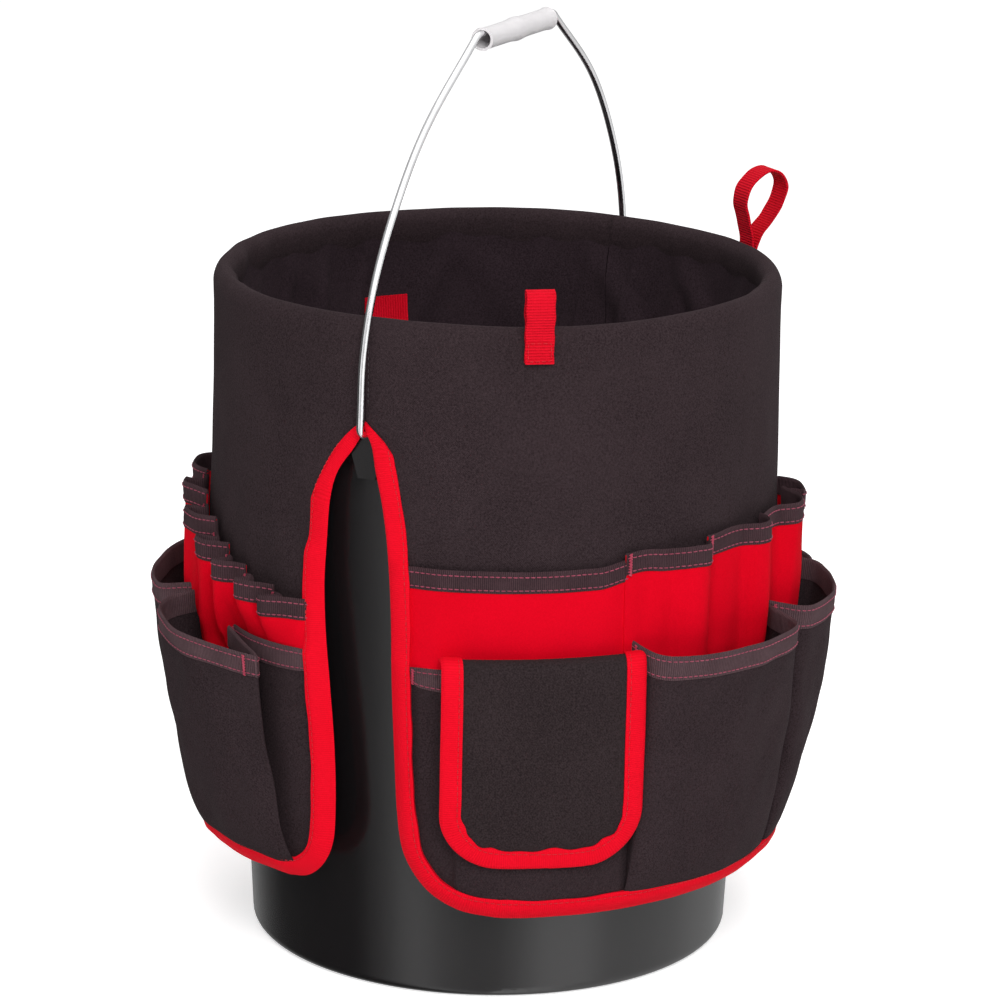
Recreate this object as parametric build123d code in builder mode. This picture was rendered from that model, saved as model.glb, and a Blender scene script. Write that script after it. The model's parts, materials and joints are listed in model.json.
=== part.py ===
from build123d import *
from math import cos, radians, sin
import os

# Tool bucket organizer: a moulded pail with a wire bail, wearing a sewn organizer.
# Millimetres and degrees. Origin at the centre of the pail's base, on the ground, +Z up.
# The bail pivots about X. The front panel faces -Y, and the rear panel is the front
# panel turned half a turn about Z. Angles round a panel run from 0 at its first ear,
# through 90 at its middle, to 180 at its second ear.

FRONT = Plane(origin=(0, 0, 0), x_dir=(-1, 0, 0), z_dir=(0, 0, 1))
REAR = Plane.XY

# Pail, the common five-gallon size
PAIL_HEIGHT = 367.5
PAIL_BASE_R = 131.0
PAIL_TOP_R = 147.8
PAIL_WALL = 2.0
LIP_R = 150.2
LIP_Z = 347.0
FOOT_R = 118.0
FOOT_HEIGHT = 4.0
BASE_ROUND = 6.0
RIB_R = 149.6
RIB_HEIGHT = 2.4
RIB_ZS = (326.0, 337.0)

# Ears and bail
PIVOT_Z = 310.0
EAR_FACE_X = 150.4
EAR_ROOT_X = 144.3
EAR_R = 12.0
GUSSET_FOOT_Z = 286.0
GUSSET_HALF = 5.0
WIRE_R = 2.0
PIVOT_CLEARANCE = 0.06
PIVOT_HOLE_DEPTH = 3.8
WIRE_TIP_GAP = 0.3
LEG_X = 158.0
LEG_BEND = 5.0
BAIL_LEAN = 2.4
BAIL_TOP = 191.0
BAIL_FLAT = 42.0
KINK_R = 10.0
KINK_ANGLE = 37.0
BAIL_SHOULDER = [(100.7, 149.8), (131.1, 112.4), (150.3, 74.9), (158.5, 37.5)]

# Grip
GRIP_LENGTH = 78.0
GRIP_BORE_R = 4.8
GRIP_BODY_R = 5.8
GRIP_END_R = 6.3
GRIP_BULGE_R = 6.5
WIRE_IN_BORE_GAP = 0.1

# Sewn shell
CLOTH = 1.5
GAP = 0.15
SEAM_ANGLE = 0.1
SKIRT_TOP_Z = 357.0
SKIRT_TOP_R = 152.6
SKIRT_LOW_R = 157.5
SKIRT_BREAKS = (190.0, 340.0)
HEM_Z = 55.0
TAPE = 11.0
TAPE_PROUD = 0.7
TAPE_INSET = 2.2
SLIT_TOP = 319.0
SLIT_EDGE = [(9.0, 290.0), (19.5, 230.0), (19.0, 176.0), (18.5, 134.0)]
SLIT_FOOT = (20.0, HEM_Z + 50.0)
HEM_CORNER_R = 50.0
SLIT_CUT_X = 110.0
SLIT_CUT_LENGTH = 70.0

COLLAR_TOP_Z = 371.0
COLLAR_OUTER_R = 153.0
COLLAR_INNER_R = 140.8
COLLAR_CLOTH = 2.2
LINING_TOP_R = 143.4
LINING_LOW_R = 136.4
LINING_LOW_Z = 190.0

# Upper tier: one red band sewn down between its bays. Each bay: end angle, bulge, top
BAND_R = 158.0
BAND_CLOTH = 1.3
BAND_LOW_Z = 120.0
BAND_BULGE_Z = 201.5
BAND_START = 12.4
BAND_BAYS = [
    (52.5, 1.0, 244.0),
    (71.0, 9.0, 250.0),
    (92.0, 9.0, 252.0),
    (113.0, 9.0, 251.0),
    (123.0, 11.0, 248.0),
    (134.0, 11.5, 238.0),
    (142.0, 10.0, 231.0),
    (150.0, 10.0, 225.0),
    (159.0, 10.0, 221.0),
    (167.6, 2.0, 217.0),
]

# Lower tier pockets: start, end, stand-off of the back, depth of the mouth's sides and
# middle, mouth height. The third bellows pocket lies over the flat end pocket
POUCH_BACK_R = 159.7
POUCH_LOW_Z = 66.8
POUCH_FLOOR = 2.0
POUCH_FOOT_DEPTH = 2.2
POUCH_FOOT_CROWN = 0.5
POUCH_SIDE_STEP = 1.2
POUCHES = {
    "flap_pocket": (12.8, 53.2, 0.0, 13.0, 6.5, 190.0),
    "first_bellows_pocket": (54.8, 93.2, 0.0, 24.0, 28.5, 196.0),
    "second_bellows_pocket": (94.8, 128.2, 0.0, 24.0, 28.5, 197.0),
    "third_bellows_pocket": (129.8, 164.4, 3.6, 19.0, 25.0, 198.0),
    "end_pocket": (147.8, 167.4, 0.0, 2.2, 2.7, 189.0),
}
MOUTH_TAPE = 12.0
MOUTH_TAPE_CLOTH = 1.0

# Flap over the flap pocket
FLAP_ANGLE = 35.5
FLAP_HINGE_R = 168.0
FLAP_TOP_Z = 197.0
FLAP_PROUD = 3.0
FLAP_WIDTH = 106.0
FLAP_LENGTH = 112.0
FLAP_CORNER_R = 30.0
FLAP_TAPE = 10.5
PATCH_WIDTH = 50.0
PATCH_HEIGHT = 20.0
PATCH_DROP = 75.0
PATCH_THICK = 1.0
HOOK_PATCH_R = 169.8
LOOP_PATCH_R = 165.4

# Webbing
WEBBING = 15.0
WEBBING_THICK = 1.3
LEFT_LOOP_ANGLE = 34.0
RIGHT_LOOP_ANGLE = 143.0
TAB_ANGLE = 53.0
TAB_WIDTH = 26.0
TAB_TOP_Z = 323.0
TAB_LENGTH = 40.0
TAB_R = 136.4


def polar(radius, degrees):
    """Panel point at a radius and an angle from the panel's first ear."""
    return radius * cos(radians(degrees)), radius * sin(radians(degrees))


def spoke(panel, degrees):
    """Upright plane through the pail's axis: local x points outwards, local y up."""
    outward = panel.x_dir.rotate(Axis.Z, degrees)
    return Plane(origin=(0, 0, 0), x_dir=outward, z_dir=outward.cross(Vector(0, 0, 1)))


def facing(panel, degrees, radius, height):
    """Plane tangent to the pail: local x runs round the panel, y up and z outwards."""
    outward = panel.x_dir.rotate(Axis.Z, degrees)
    return Plane(
        origin=outward * radius + Vector(0, 0, height),
        x_dir=Vector(0, 0, 1).cross(outward),
        z_dir=outward,
    )


def ear_plane(side, distance):
    """Plane across the ear axis on one side (1 or -1): local y is up, normal outwards."""
    return Plane(origin=(side * distance, 0, 0), x_dir=(0, side, 0), z_dir=(side, 0, 0))


def bail_plane():
    """Plane that holds the bail at rest: origin on the pivot axis, local y along its height."""
    lean = radians(BAIL_LEAN)
    return Plane(origin=(0, 0, PIVOT_Z), x_dir=(1, 0, 0), z_dir=(0, -cos(lean), -sin(lean)))


def skirt_radius(height):
    """Outside radius of the hanging skirt: it spreads below the rim, then hangs straight."""
    low, high = SKIRT_BREAKS
    share = min(max((height - low) / (high - low), 0.0), 1.0)
    return SKIRT_LOW_R + (SKIRT_TOP_R - SKIRT_LOW_R) * share


def write(piece, name):
    """Label one finished piece and write it under its node name."""
    piece.part.label = name
    export_step(piece.part, f"parts/{name}.step")


def bucket_shell():
    """Moulded pail: tapered wall on a foot ring, stiffening ribs, lip and two ears."""
    floor_top = FOOT_HEIGHT + PAIL_WALL
    with BuildPart() as shell:
        with BuildSketch(Plane.XZ):
            with BuildLine():
                Polyline(
                    (0, FOOT_HEIGHT), (FOOT_R, FOOT_HEIGHT), (FOOT_R, 0), (PAIL_BASE_R, 0),
                    (PAIL_TOP_R, LIP_Z), (LIP_R, LIP_Z), (LIP_R, PAIL_HEIGHT),
                    (PAIL_TOP_R - PAIL_WALL, PAIL_HEIGHT), (PAIL_BASE_R - PAIL_WALL, floor_top),
                    (0, floor_top), close=True,
                )
            make_face()
        revolve(axis=Axis.Z)
        foot_edges = edges().filter_by_position(Axis.Z, -GAP, GAP).sort_by(SortBy.RADIUS)
        fillet(foot_edges[-1], radius=BASE_ROUND)
        top_edges = edges().filter_by_position(Axis.Z, PAIL_HEIGHT - GAP, PAIL_HEIGHT + GAP)
        fillet(top_edges, radius=PAIL_WALL)
        for height in RIB_ZS:
            with BuildSketch(Plane.XY.offset(height)):
                Circle(RIB_R)
                Circle(PAIL_TOP_R - PAIL_WALL, mode=Mode.SUBTRACT)
            extrude(amount=RIB_HEIGHT)
        for side in (1, -1):
            with BuildSketch(ear_plane(side, EAR_FACE_X)):
                with Locations((0, PIVOT_Z)):
                    Circle(EAR_R)
                with BuildLine():
                    Polyline(
                        (-EAR_R, PIVOT_Z), (EAR_R, PIVOT_Z), (GUSSET_HALF, GUSSET_FOOT_Z),
                        (-GUSSET_HALF, GUSSET_FOOT_Z), close=True,
                    )
                make_face()
            extrude(amount=EAR_ROOT_X - EAR_FACE_X)
            with BuildSketch(ear_plane(side, EAR_FACE_X)):
                with Locations((0, PIVOT_Z)):
                    Circle(WIRE_R + PIVOT_CLEARANCE)
            extrude(amount=-PIVOT_HOLE_DEPTH, mode=Mode.SUBTRACT)
    return shell


def bail_wire():
    """Round wire: a flat for the grip, two kinks, curved shoulders and inward-bent ends."""
    tip_x = EAR_FACE_X - PIVOT_HOLE_DEPTH + WIRE_TIP_GAP
    plane = bail_plane()
    with BuildPart() as wire:
        with BuildLine(plane) as path:
            flat = Line((0, BAIL_TOP), (BAIL_FLAT, BAIL_TOP))
            kink = JernArc(flat @ 1, tangent=flat % 1, radius=KINK_R, arc_size=-KINK_ANGLE)
            leg = Spline(
                kink @ 1, *BAIL_SHOULDER, (LEG_X, LEG_BEND), tangents=(kink % 1, -plane.y_dir)
            )
            bend = JernArc(leg @ 1, tangent=leg % 1, radius=LEG_BEND, arc_size=-90)
            Line(bend @ 1, (tip_x, 0))
        centre_line = path.wires()[0]
        with BuildSketch(Plane(origin=centre_line @ 0, z_dir=centre_line % 0)):
            Circle(WIRE_R)
        sweep(path=centre_line)
        mirror(about=Plane.YZ)
    return wire


def bail_grip():
    """Moulded tube with flared ends and a swell in the middle, hanging on the wire."""
    axis_drop = GRIP_BORE_R - WIRE_R - WIRE_IN_BORE_GAP
    middle = BAIL_TOP - axis_drop
    half = GRIP_LENGTH / 2
    plane = bail_plane()
    with BuildPart() as grip:
        with BuildSketch(plane):
            with BuildLine():
                Spline(
                    (-half, middle + GRIP_END_R), (-half * 0.88, middle + GRIP_BODY_R + 0.1),
                    (-half * 0.7, middle + GRIP_BODY_R), (-half * 0.35, middle + GRIP_BODY_R),
                    (-half * 0.15, middle + GRIP_BODY_R + 0.25), (0, middle + GRIP_BULGE_R),
                    (half * 0.15, middle + GRIP_BODY_R + 0.25), (half * 0.35, middle + GRIP_BODY_R),
                    (half * 0.7, middle + GRIP_BODY_R), (half * 0.88, middle + GRIP_BODY_R + 0.1),
                    (half, middle + GRIP_END_R),
                )
                Polyline(
                    (half, middle + GRIP_END_R), (half, middle + GRIP_BORE_R),
                    (-half, middle + GRIP_BORE_R), (-half, middle + GRIP_END_R),
                )
            make_face()
        spin = plane.from_local_coords(Vector(0, middle, 0))
        revolve(axis=Axis(spin, (1, 0, 0)))
    return grip


def skirt_profile(panel, low, high, inset, proud):
    """Upright section of a sewn layer that follows the skirt, at the panel's first seam."""
    heights = [low] + [z for z in SKIRT_BREAKS if low < z < high] + [high]
    outer = [(skirt_radius(z) + proud, z) for z in heights]
    inner = [(skirt_radius(z) - inset, z) for z in reversed(heights)]
    with BuildSketch(spoke(panel, SEAM_ANGLE)) as profile:
        with BuildLine():
            Polyline(*outer, *inner, close=True)
        make_face()
    return profile.sketch


def slit_face(side, grow):
    """Slit below one ear, grown by a margin, widening to a round-cornered foot at the hem."""
    foot_x, foot_z = SLIT_FOOT
    corner_x = foot_x + HEM_CORNER_R
    corner_r = HEM_CORNER_R - grow
    diagonal = corner_r * cos(radians(45))
    with BuildSketch(ear_plane(side, SLIT_CUT_X)) as slit:
        with BuildLine():
            for hand in (1, -1):
                edge = Spline(
                    (0, SLIT_TOP + grow), *[(hand * (x + grow), z) for x, z in SLIT_EDGE],
                    (hand * (foot_x + grow), foot_z), tangents=((hand, 0), (0, -1)),
                )
                corner = ThreePointArc(
                    edge @ 1, (hand * (corner_x - diagonal), foot_z - diagonal),
                    (hand * corner_x, foot_z - corner_r),
                )
                Polyline(corner @ 1, (hand * corner_x, 0), (0, 0))
        make_face()
    return slit.sketch


def skirt_panel(panel):
    """Half of the outer skirt, from under the collar to the tape along its edge."""
    with BuildPart() as skirt:
        profile = skirt_profile(panel, HEM_Z + TAPE + GAP, SKIRT_TOP_Z - GAP, CLOTH, 0)
        revolve(profile, axis=Axis.Z, revolution_arc=180 - 2 * SEAM_ANGLE)
        for side in (1, -1):
            extrude(slit_face(side, TAPE + GAP), amount=SLIT_CUT_LENGTH, mode=Mode.SUBTRACT)
    return skirt


def edge_binding(panel):
    """Folded tape round the panel's free edge: down one slit, along the hem, up the other."""
    above = SLIT_TOP + 2 * TAPE
    with BuildPart() as field:
        profile = skirt_profile(panel, HEM_Z + TAPE, above + TAPE, 2 * TAPE, TAPE)
        revolve(profile, axis=Axis.Z, revolution_arc=180 - 2 * SEAM_ANGLE)
        for side in (1, -1):
            extrude(slit_face(side, TAPE), amount=SLIT_CUT_LENGTH, mode=Mode.SUBTRACT)
    with BuildPart() as binding:
        profile = skirt_profile(panel, HEM_Z, above, TAPE_INSET, TAPE_PROUD)
        revolve(profile, axis=Axis.Z, revolution_arc=180 - 2 * SEAM_ANGLE)
        for side in (1, -1):
            extrude(slit_face(side, 0), amount=SLIT_CUT_LENGTH, mode=Mode.SUBTRACT)
        add(field.part, mode=Mode.SUBTRACT)
    return binding


def rim_collar():
    """Padded roll that carries the organizer on the pail's lip."""
    middle_r = (COLLAR_OUTER_R + COLLAR_INNER_R) / 2
    half = (COLLAR_OUTER_R - COLLAR_INNER_R) / 2
    shoulder = COLLAR_TOP_Z - half
    cloth = COLLAR_CLOTH
    with BuildPart() as collar:
        with BuildSketch(Plane.XZ):
            with BuildLine():
                outside = Line((COLLAR_OUTER_R, SKIRT_TOP_Z), (COLLAR_OUTER_R, shoulder))
                over = ThreePointArc(
                    outside @ 1, (middle_r, COLLAR_TOP_Z), (COLLAR_INNER_R, shoulder)
                )
                inside = Line(over @ 1, (COLLAR_INNER_R, SKIRT_TOP_Z))
                foot = Line(inside @ 1, (COLLAR_INNER_R + cloth, SKIRT_TOP_Z))
                back = Line(foot @ 1, (COLLAR_INNER_R + cloth, shoulder))
                under = ThreePointArc(
                    back @ 1, (middle_r, COLLAR_TOP_Z - cloth), (COLLAR_OUTER_R - cloth, shoulder)
                )
                down = Line(under @ 1, (COLLAR_OUTER_R - cloth, SKIRT_TOP_Z))
                Line(down @ 1, outside @ 0)
            make_face()
        revolve(axis=Axis.Z)
    return collar


def lining_panel(panel):
    """Half of the lining that hangs inside the pail."""
    top_z = SKIRT_TOP_Z - GAP
    with BuildPart() as lining:
        with BuildSketch(spoke(panel, SEAM_ANGLE)):
            with BuildLine():
                Polyline(
                    (LINING_TOP_R, top_z), (LINING_LOW_R, LINING_LOW_Z),
                    (LINING_LOW_R - CLOTH, LINING_LOW_Z), (LINING_TOP_R - CLOTH, top_z), close=True,
                )
            make_face()
        revolve(axis=Axis.Z, revolution_arc=180 - 2 * SEAM_ANGLE)
    return lining


def bay_face(panel, height, start, end, radius, bulge, thickness):
    """Plan of one bay of cloth: fixed at both ends and bulging outwards between them."""
    middle = (start + end) / 2
    with BuildSketch(panel.offset(height)) as bay:
        with BuildLine():
            inner = ThreePointArc(
                polar(radius, start), polar(radius + bulge, middle), polar(radius, end)
            )
            outer = ThreePointArc(
                polar(radius + thickness, start), polar(radius + thickness + bulge, middle),
                polar(radius + thickness, end),
            )
            Line(inner @ 0, outer @ 0)
            Line(inner @ 1, outer @ 1)
        make_face()
    return bay.sketch


def tool_band(panel):
    """Red band of the upper tier, flat behind the pockets and bulging above them."""
    last_angle = BAND_BAYS[-1][0]
    with BuildPart() as band:
        with BuildSketch(spoke(panel, BAND_START)):
            with BuildLine():
                Polyline(
                    (BAND_R, BAND_LOW_Z), (BAND_R + BAND_CLOTH, BAND_LOW_Z),
                    (BAND_R + BAND_CLOTH, BAND_BULGE_Z), (BAND_R, BAND_BULGE_Z), close=True,
                )
            make_face()
        revolve(axis=Axis.Z, revolution_arc=last_angle - BAND_START)
        start = BAND_START
        for end, bulge, top in BAND_BAYS:
            bay = bay_face(panel, BAND_BULGE_Z, start, end, BAND_R, bulge, BAND_CLOTH)
            extrude(bay, amount=top - BAND_BULGE_Z)
            start = end
    return band


def band_trim(panel):
    """Ribbed tape sewn along the band's top edge."""
    radius = BAND_R + BAND_CLOTH + GAP
    with BuildPart() as trim:
        start = BAND_START
        for end, bulge, top in BAND_BAYS:
            bay = bay_face(panel, top - TAPE, start, end, radius, bulge, MOUTH_TAPE_CLOTH)
            extrude(bay, amount=TAPE)
            start = end
    return trim


def pouch_face(panel, height, start, end, stand_off, side_depth, middle_depth, inset):
    """Plan of a pocket at one height: it leaves the panel, crosses and comes back."""
    back_r = POUCH_BACK_R + stand_off - inset
    cloth_angle = inset / radians(POUCH_BACK_R)
    side_r = back_r + side_depth
    first, last = start + cloth_angle, end - cloth_angle
    middle = (start + end) / 2
    with BuildSketch(panel.offset(height)) as plan:
        with BuildLine():
            out = Line(polar(back_r, first), polar(side_r, first + POUCH_SIDE_STEP))
            face = ThreePointArc(
                out @ 1, polar(back_r + middle_depth, middle),
                polar(side_r, last - POUCH_SIDE_STEP),
            )
            home = Line(face @ 1, polar(back_r, last))
            ThreePointArc(home @ 1, polar(back_r, middle), out @ 0)
        make_face()
    return plan.sketch


def pouch(panel, start, end, stand_off, side_depth, middle_depth, mouth_z):
    """One pocket: a sheet that tapers from an open mouth to the hem, open at its back."""
    foot = (POUCH_FOOT_DEPTH, POUCH_FOOT_DEPTH + POUCH_FOOT_CROWN)
    mouth = (side_depth, middle_depth)
    floor_z = POUCH_LOW_Z + POUCH_FLOOR
    with BuildPart() as pocket:
        low = pouch_face(panel, POUCH_LOW_Z, start, end, stand_off, *foot, 0)
        high = pouch_face(panel, mouth_z, start, end, stand_off, *mouth, 0)
        loft(sections=[low, high], ruled=True)
        inner_low = pouch_face(panel, floor_z, start, end, stand_off, *foot, CLOTH)
        inner_high = pouch_face(panel, mouth_z, start, end, stand_off, *mouth, CLOTH)
        loft(sections=[inner_low, inner_high], ruled=True, mode=Mode.SUBTRACT)
    return pocket


def mouth_trim(panel, start, end, stand_off, side_depth, middle_depth, mouth_z):
    """Ribbed tape round the outside of one pocket's mouth."""
    level = panel.offset(mouth_z - MOUTH_TAPE)
    mouth = pouch_face(
        panel, mouth_z - MOUTH_TAPE, start, end, stand_off, side_depth, middle_depth, 0
    )
    with BuildPart() as trim:
        with BuildSketch(level):
            add(level.to_local_coords(mouth))
            offset(amount=MOUTH_TAPE_CLOTH + GAP, mode=Mode.REPLACE)
            offset(amount=-MOUTH_TAPE_CLOTH, mode=Mode.SUBTRACT)
            Circle(POUCH_BACK_R + stand_off + GAP, mode=Mode.SUBTRACT)
        extrude(amount=MOUTH_TAPE)
    return trim


def flap_outline(panel, inset, radius):
    """Flap seen face on: straight sides and top, round lower corners."""
    with BuildSketch(facing(panel, FLAP_ANGLE, radius, FLAP_TOP_Z)) as outline:
        length = FLAP_LENGTH - inset
        with Locations((0, -length / 2)):
            Rectangle(FLAP_WIDTH - 2 * inset, length)
        lower = outline.vertices().group_by(Axis.Y)[0]
        fillet(lower, radius=FLAP_CORNER_R - inset)
    return outline.sketch


def flap(panel):
    """Cloth of the flap inside its tape."""
    with BuildPart() as cloth:
        extrude(flap_outline(panel, FLAP_TAPE + GAP, FLAP_HINGE_R + FLAP_PROUD), amount=CLOTH)
    return cloth


def flap_binding(panel):
    """Folded tape down both sides of the flap and along its foot."""
    radius = FLAP_HINGE_R + FLAP_PROUD - TAPE_PROUD
    thickness = CLOTH + 2 * TAPE_PROUD
    with BuildPart() as binding:
        extrude(flap_outline(panel, 0, radius), amount=thickness)
        extrude(flap_outline(panel, FLAP_TAPE, radius), amount=thickness, mode=Mode.SUBTRACT)
    return binding


def patch(panel, radius):
    """Rectangle of hook or loop tape near the flap's foot."""
    with BuildPart() as tape:
        with BuildSketch(facing(panel, FLAP_ANGLE, radius, FLAP_TOP_Z - PATCH_DROP)):
            RectangleRounded(PATCH_WIDTH, PATCH_HEIGHT, 2)
        extrude(amount=PATCH_THICK)
    return tape


def rim_loop(angle, eye_r, eye_z, eye_half_width, eye_half_height, eye_lean, tail_r, tail_z):
    """Loop of webbing: a doubled tail sewn below the rim and an eye standing above it."""
    with BuildPart() as loop:
        with BuildSketch(spoke(FRONT, angle)):
            with Locations(Location((eye_r, eye_z), eye_lean)):
                Ellipse(eye_half_width, eye_half_height)
                Ellipse(
                    eye_half_width - WEBBING_THICK, eye_half_height - WEBBING_THICK,
                    mode=Mode.SUBTRACT,
                )
            with BuildLine():
                Polyline(
                    (tail_r - WEBBING_THICK, tail_z), (tail_r + WEBBING_THICK, tail_z),
                    (tail_r + WEBBING_THICK, SKIRT_TOP_Z + TAPE),
                    (tail_r - WEBBING_THICK, SKIRT_TOP_Z + TAPE), close=True,
                )
            make_face()
        extrude(amount=WEBBING / 2, both=True)
    return loop


def inner_tab():
    """Webbing tab sewn to the rear lining."""
    with BuildPart() as tab:
        with BuildSketch(facing(REAR, TAB_ANGLE, TAB_R, TAB_TOP_Z - TAB_LENGTH / 2)):
            Rectangle(TAB_WIDTH, TAB_LENGTH)
        extrude(amount=WEBBING_THICK)
    return tab


os.makedirs("parts", exist_ok=True)
write(bucket_shell(), "bucket_shell")
write(bail_wire(), "bail_wire")
write(bail_grip(), "bail_grip")
write(rim_collar(), "rim_collar")
for hand, panel in (("front", FRONT), ("rear", REAR)):
    write(skirt_panel(panel), f"{hand}_skirt_panel")
    write(edge_binding(panel), f"{hand}_edge_binding")
    write(lining_panel(panel), f"{hand}_lining_panel")
    write(tool_band(panel), f"{hand}_tool_band")
    write(band_trim(panel), f"{hand}_band_trim")
    for pocket_name, sizes in POUCHES.items():
        write(pouch(panel, *sizes), f"{hand}_{pocket_name}")
        write(mouth_trim(panel, *sizes), f"{hand}_{pocket_name}_trim")
    write(flap(panel), f"{hand}_flap")
    write(flap_binding(panel), f"{hand}_flap_binding")
    write(patch(panel, HOOK_PATCH_R), f"{hand}_flap_hook_patch")
    write(patch(panel, LOOP_PATCH_R), f"{hand}_pocket_loop_patch")
write(rim_loop(LEFT_LOOP_ANGLE, 153.6, 379.0, 3.4, 12.5, 15, 155.4, 352.0), "left_rim_loop")
write(rim_loop(RIGHT_LOOP_ANGLE, 161.0, 389.0, 13.0, 22.0, -12, 155.4, 352.0), "right_rim_loop")
write(inner_tab(), "inner_tab")
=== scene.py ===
import bpy
import json
import math
import numpy as np
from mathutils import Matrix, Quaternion, Vector


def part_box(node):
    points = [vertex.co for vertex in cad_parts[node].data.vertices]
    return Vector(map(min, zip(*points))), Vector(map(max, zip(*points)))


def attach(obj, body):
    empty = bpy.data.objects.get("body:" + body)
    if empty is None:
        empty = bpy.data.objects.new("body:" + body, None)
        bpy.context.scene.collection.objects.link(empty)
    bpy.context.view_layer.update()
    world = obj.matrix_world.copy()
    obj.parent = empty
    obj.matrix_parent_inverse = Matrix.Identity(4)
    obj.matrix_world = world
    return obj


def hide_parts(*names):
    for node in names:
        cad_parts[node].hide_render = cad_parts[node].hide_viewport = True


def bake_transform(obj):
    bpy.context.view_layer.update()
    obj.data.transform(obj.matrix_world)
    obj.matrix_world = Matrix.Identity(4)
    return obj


# Looks of the tool bucket organizer. Millimetres and degrees until a mesh is made, in the
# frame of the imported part. A panel's angle u runs from 0 at its first ear to 180 at its
# second; the rear panel is the front one turned half a turn about the pail's axis.

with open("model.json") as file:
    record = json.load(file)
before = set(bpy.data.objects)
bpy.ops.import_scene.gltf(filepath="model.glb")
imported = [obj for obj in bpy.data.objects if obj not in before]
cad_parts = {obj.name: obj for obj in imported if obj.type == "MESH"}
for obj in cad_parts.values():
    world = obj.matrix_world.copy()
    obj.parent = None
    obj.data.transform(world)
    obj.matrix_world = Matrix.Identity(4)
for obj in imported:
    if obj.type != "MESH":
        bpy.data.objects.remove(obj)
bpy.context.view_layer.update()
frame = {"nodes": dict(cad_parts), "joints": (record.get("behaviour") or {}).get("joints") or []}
MM = 0.001
PANELS = {"front": -1, "rear": 1}


def low(node, axis):
    """Lowest coordinate of a CAD node, in mm."""
    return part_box(node)[0][axis] / MM


def high(node, axis):
    """Highest coordinate of a CAD node, in mm."""
    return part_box(node)[1][axis] / MM


def joint(name):
    """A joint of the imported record."""
    return next(j for j in frame["joints"] if j["name"] == name)


# Places taken from the frame
RIM_TOP = high("rim_collar", 2)
RIM_FOOT = low("rim_collar", 2)
HEM = low("front_edge_binding", 2)
SKIRT_OUT = high("front_skirt_panel", 0)
LINING_LOW = low("front_lining_panel", 2)
BAND_LOW = low("front_tool_band", 2)
BAND_R = -low("front_tool_band", 1) - 10.3
HINGE = [c / MM for c in joint("front_flap_lift")["pos_m"]]
HINGE_R = math.hypot(HINGE[0], HINGE[1])
HINGE_Z = HINGE[2]
FLAP_U = math.degrees(math.atan2(-HINGE[1], -HINGE[0]))

# Sewing
CLOTH = 1.1
BAND_CLOTH = 0.9
RIM_INNER = 141.2
SKIRT_TOP_R = 152.6
SKIRT_FULL_Z = 190.0
SKIRT_SHOULDER_Z = 340.0
BINDING = 11.0
BAND_TAPE = 11.0
MOUTH_TAPE = 12.5
STITCH = 2.5
STITCH_GAP = 0.5
THREAD_R = 0.33

# Slit outline from its top: distance from the ear line, height
SLIT_TOP = (0.0, 313.5)
START_EDGE = [(4.5, 305), (7.0, 292), (10.9, 275), (14.1, 253), (16.5, 222), (17.8, 180), (19.7, 140)]
START_FOOT = (22.0, 106.0, 50.0)
END_EDGE = [(6.4, 303), (16, 289), (20.3, 275), (22.4, 253), (24, 226), (20.2, 173), (16.7, 131)]
END_FOOT = (15.8, 88.0, 30.0)


def smooth(x):
    """Smooth step from 0 to 1."""
    x = np.clip(x, 0.0, 1.0)
    return x * x * (3 - 2 * x)


def spline(points, t):
    """Catmull-Rom curve through points, at index parameters t."""
    p = np.asarray(points, float)
    t = np.asarray(t, float)
    i = np.clip(t.astype(int), 0, len(p) - 2)
    f = (t - i)[:, None]
    p1, p2 = p[i], p[i + 1]
    p0 = np.where((i > 0)[:, None], p[np.maximum(i - 1, 0)], 2 * p1 - p2)
    p3 = np.where((i < len(p) - 2)[:, None], p[np.minimum(i + 2, len(p) - 1)], 2 * p2 - p1)
    d12 = np.linalg.norm(p2 - p1, axis=1)[:, None] + 1e-9
    d01 = np.linalg.norm(p1 - p0, axis=1)[:, None] + 1e-9
    d23 = np.linalg.norm(p3 - p2, axis=1)[:, None] + 1e-9
    m1 = (p2 - p0) / (d01 + d12) * d12
    m2 = (p3 - p1) / (d12 + d23) * d12
    return (
        (2 * f**3 - 3 * f**2 + 1) * p1 + (f**3 - 2 * f**2 + f) * m1
        + (3 * f**2 - 2 * f**3) * p2 + (f**3 - f**2) * m2
    )


def even_steps(points, step):
    """Index parameters that walk a spline in even steps of about this length."""
    fine = np.linspace(0, len(points) - 1, 40 * len(points))
    at = lengths(spline(points, fine))
    count = max(2, int(round(at[-1] / step)) + 1)
    return np.interp(np.linspace(0, at[-1], count), at, fine)


def lengths(points):
    """Distance walked along a row of points."""
    steps = np.linalg.norm(np.diff(points, axis=0), axis=1)
    return np.concatenate([[0.0], np.cumsum(steps)])


def resample(points, step):
    """The same polyline with evenly spaced points."""
    at = lengths(points)
    count = max(2, int(round(at[-1] / step)) + 1)
    want = np.linspace(0, at[-1], count)
    return np.stack([np.interp(want, at, points[:, k]) for k in range(points.shape[1])], 1)


def unit(v):
    """Vectors scaled to length 1."""
    return v / (np.linalg.norm(v, axis=-1, keepdims=True) + 1e-12)


def ripples(u, z, seed, wave_u, wave_z, count=5):
    """Soft repeatable noise of about unit size, from a few crossed waves."""
    rng = np.random.default_rng(seed)
    total = np.zeros(np.broadcast(u, z).shape)
    for _ in range(count):
        a, b = rng.uniform(0.6, 1.6, 2) * rng.choice([-1, 1], 2)
        phase = rng.uniform(0, 2 * math.pi)
        total = total + np.sin(2 * math.pi * (a * u / wave_u + b * z / wave_z) + phase)
    return total / math.sqrt(count)


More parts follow.
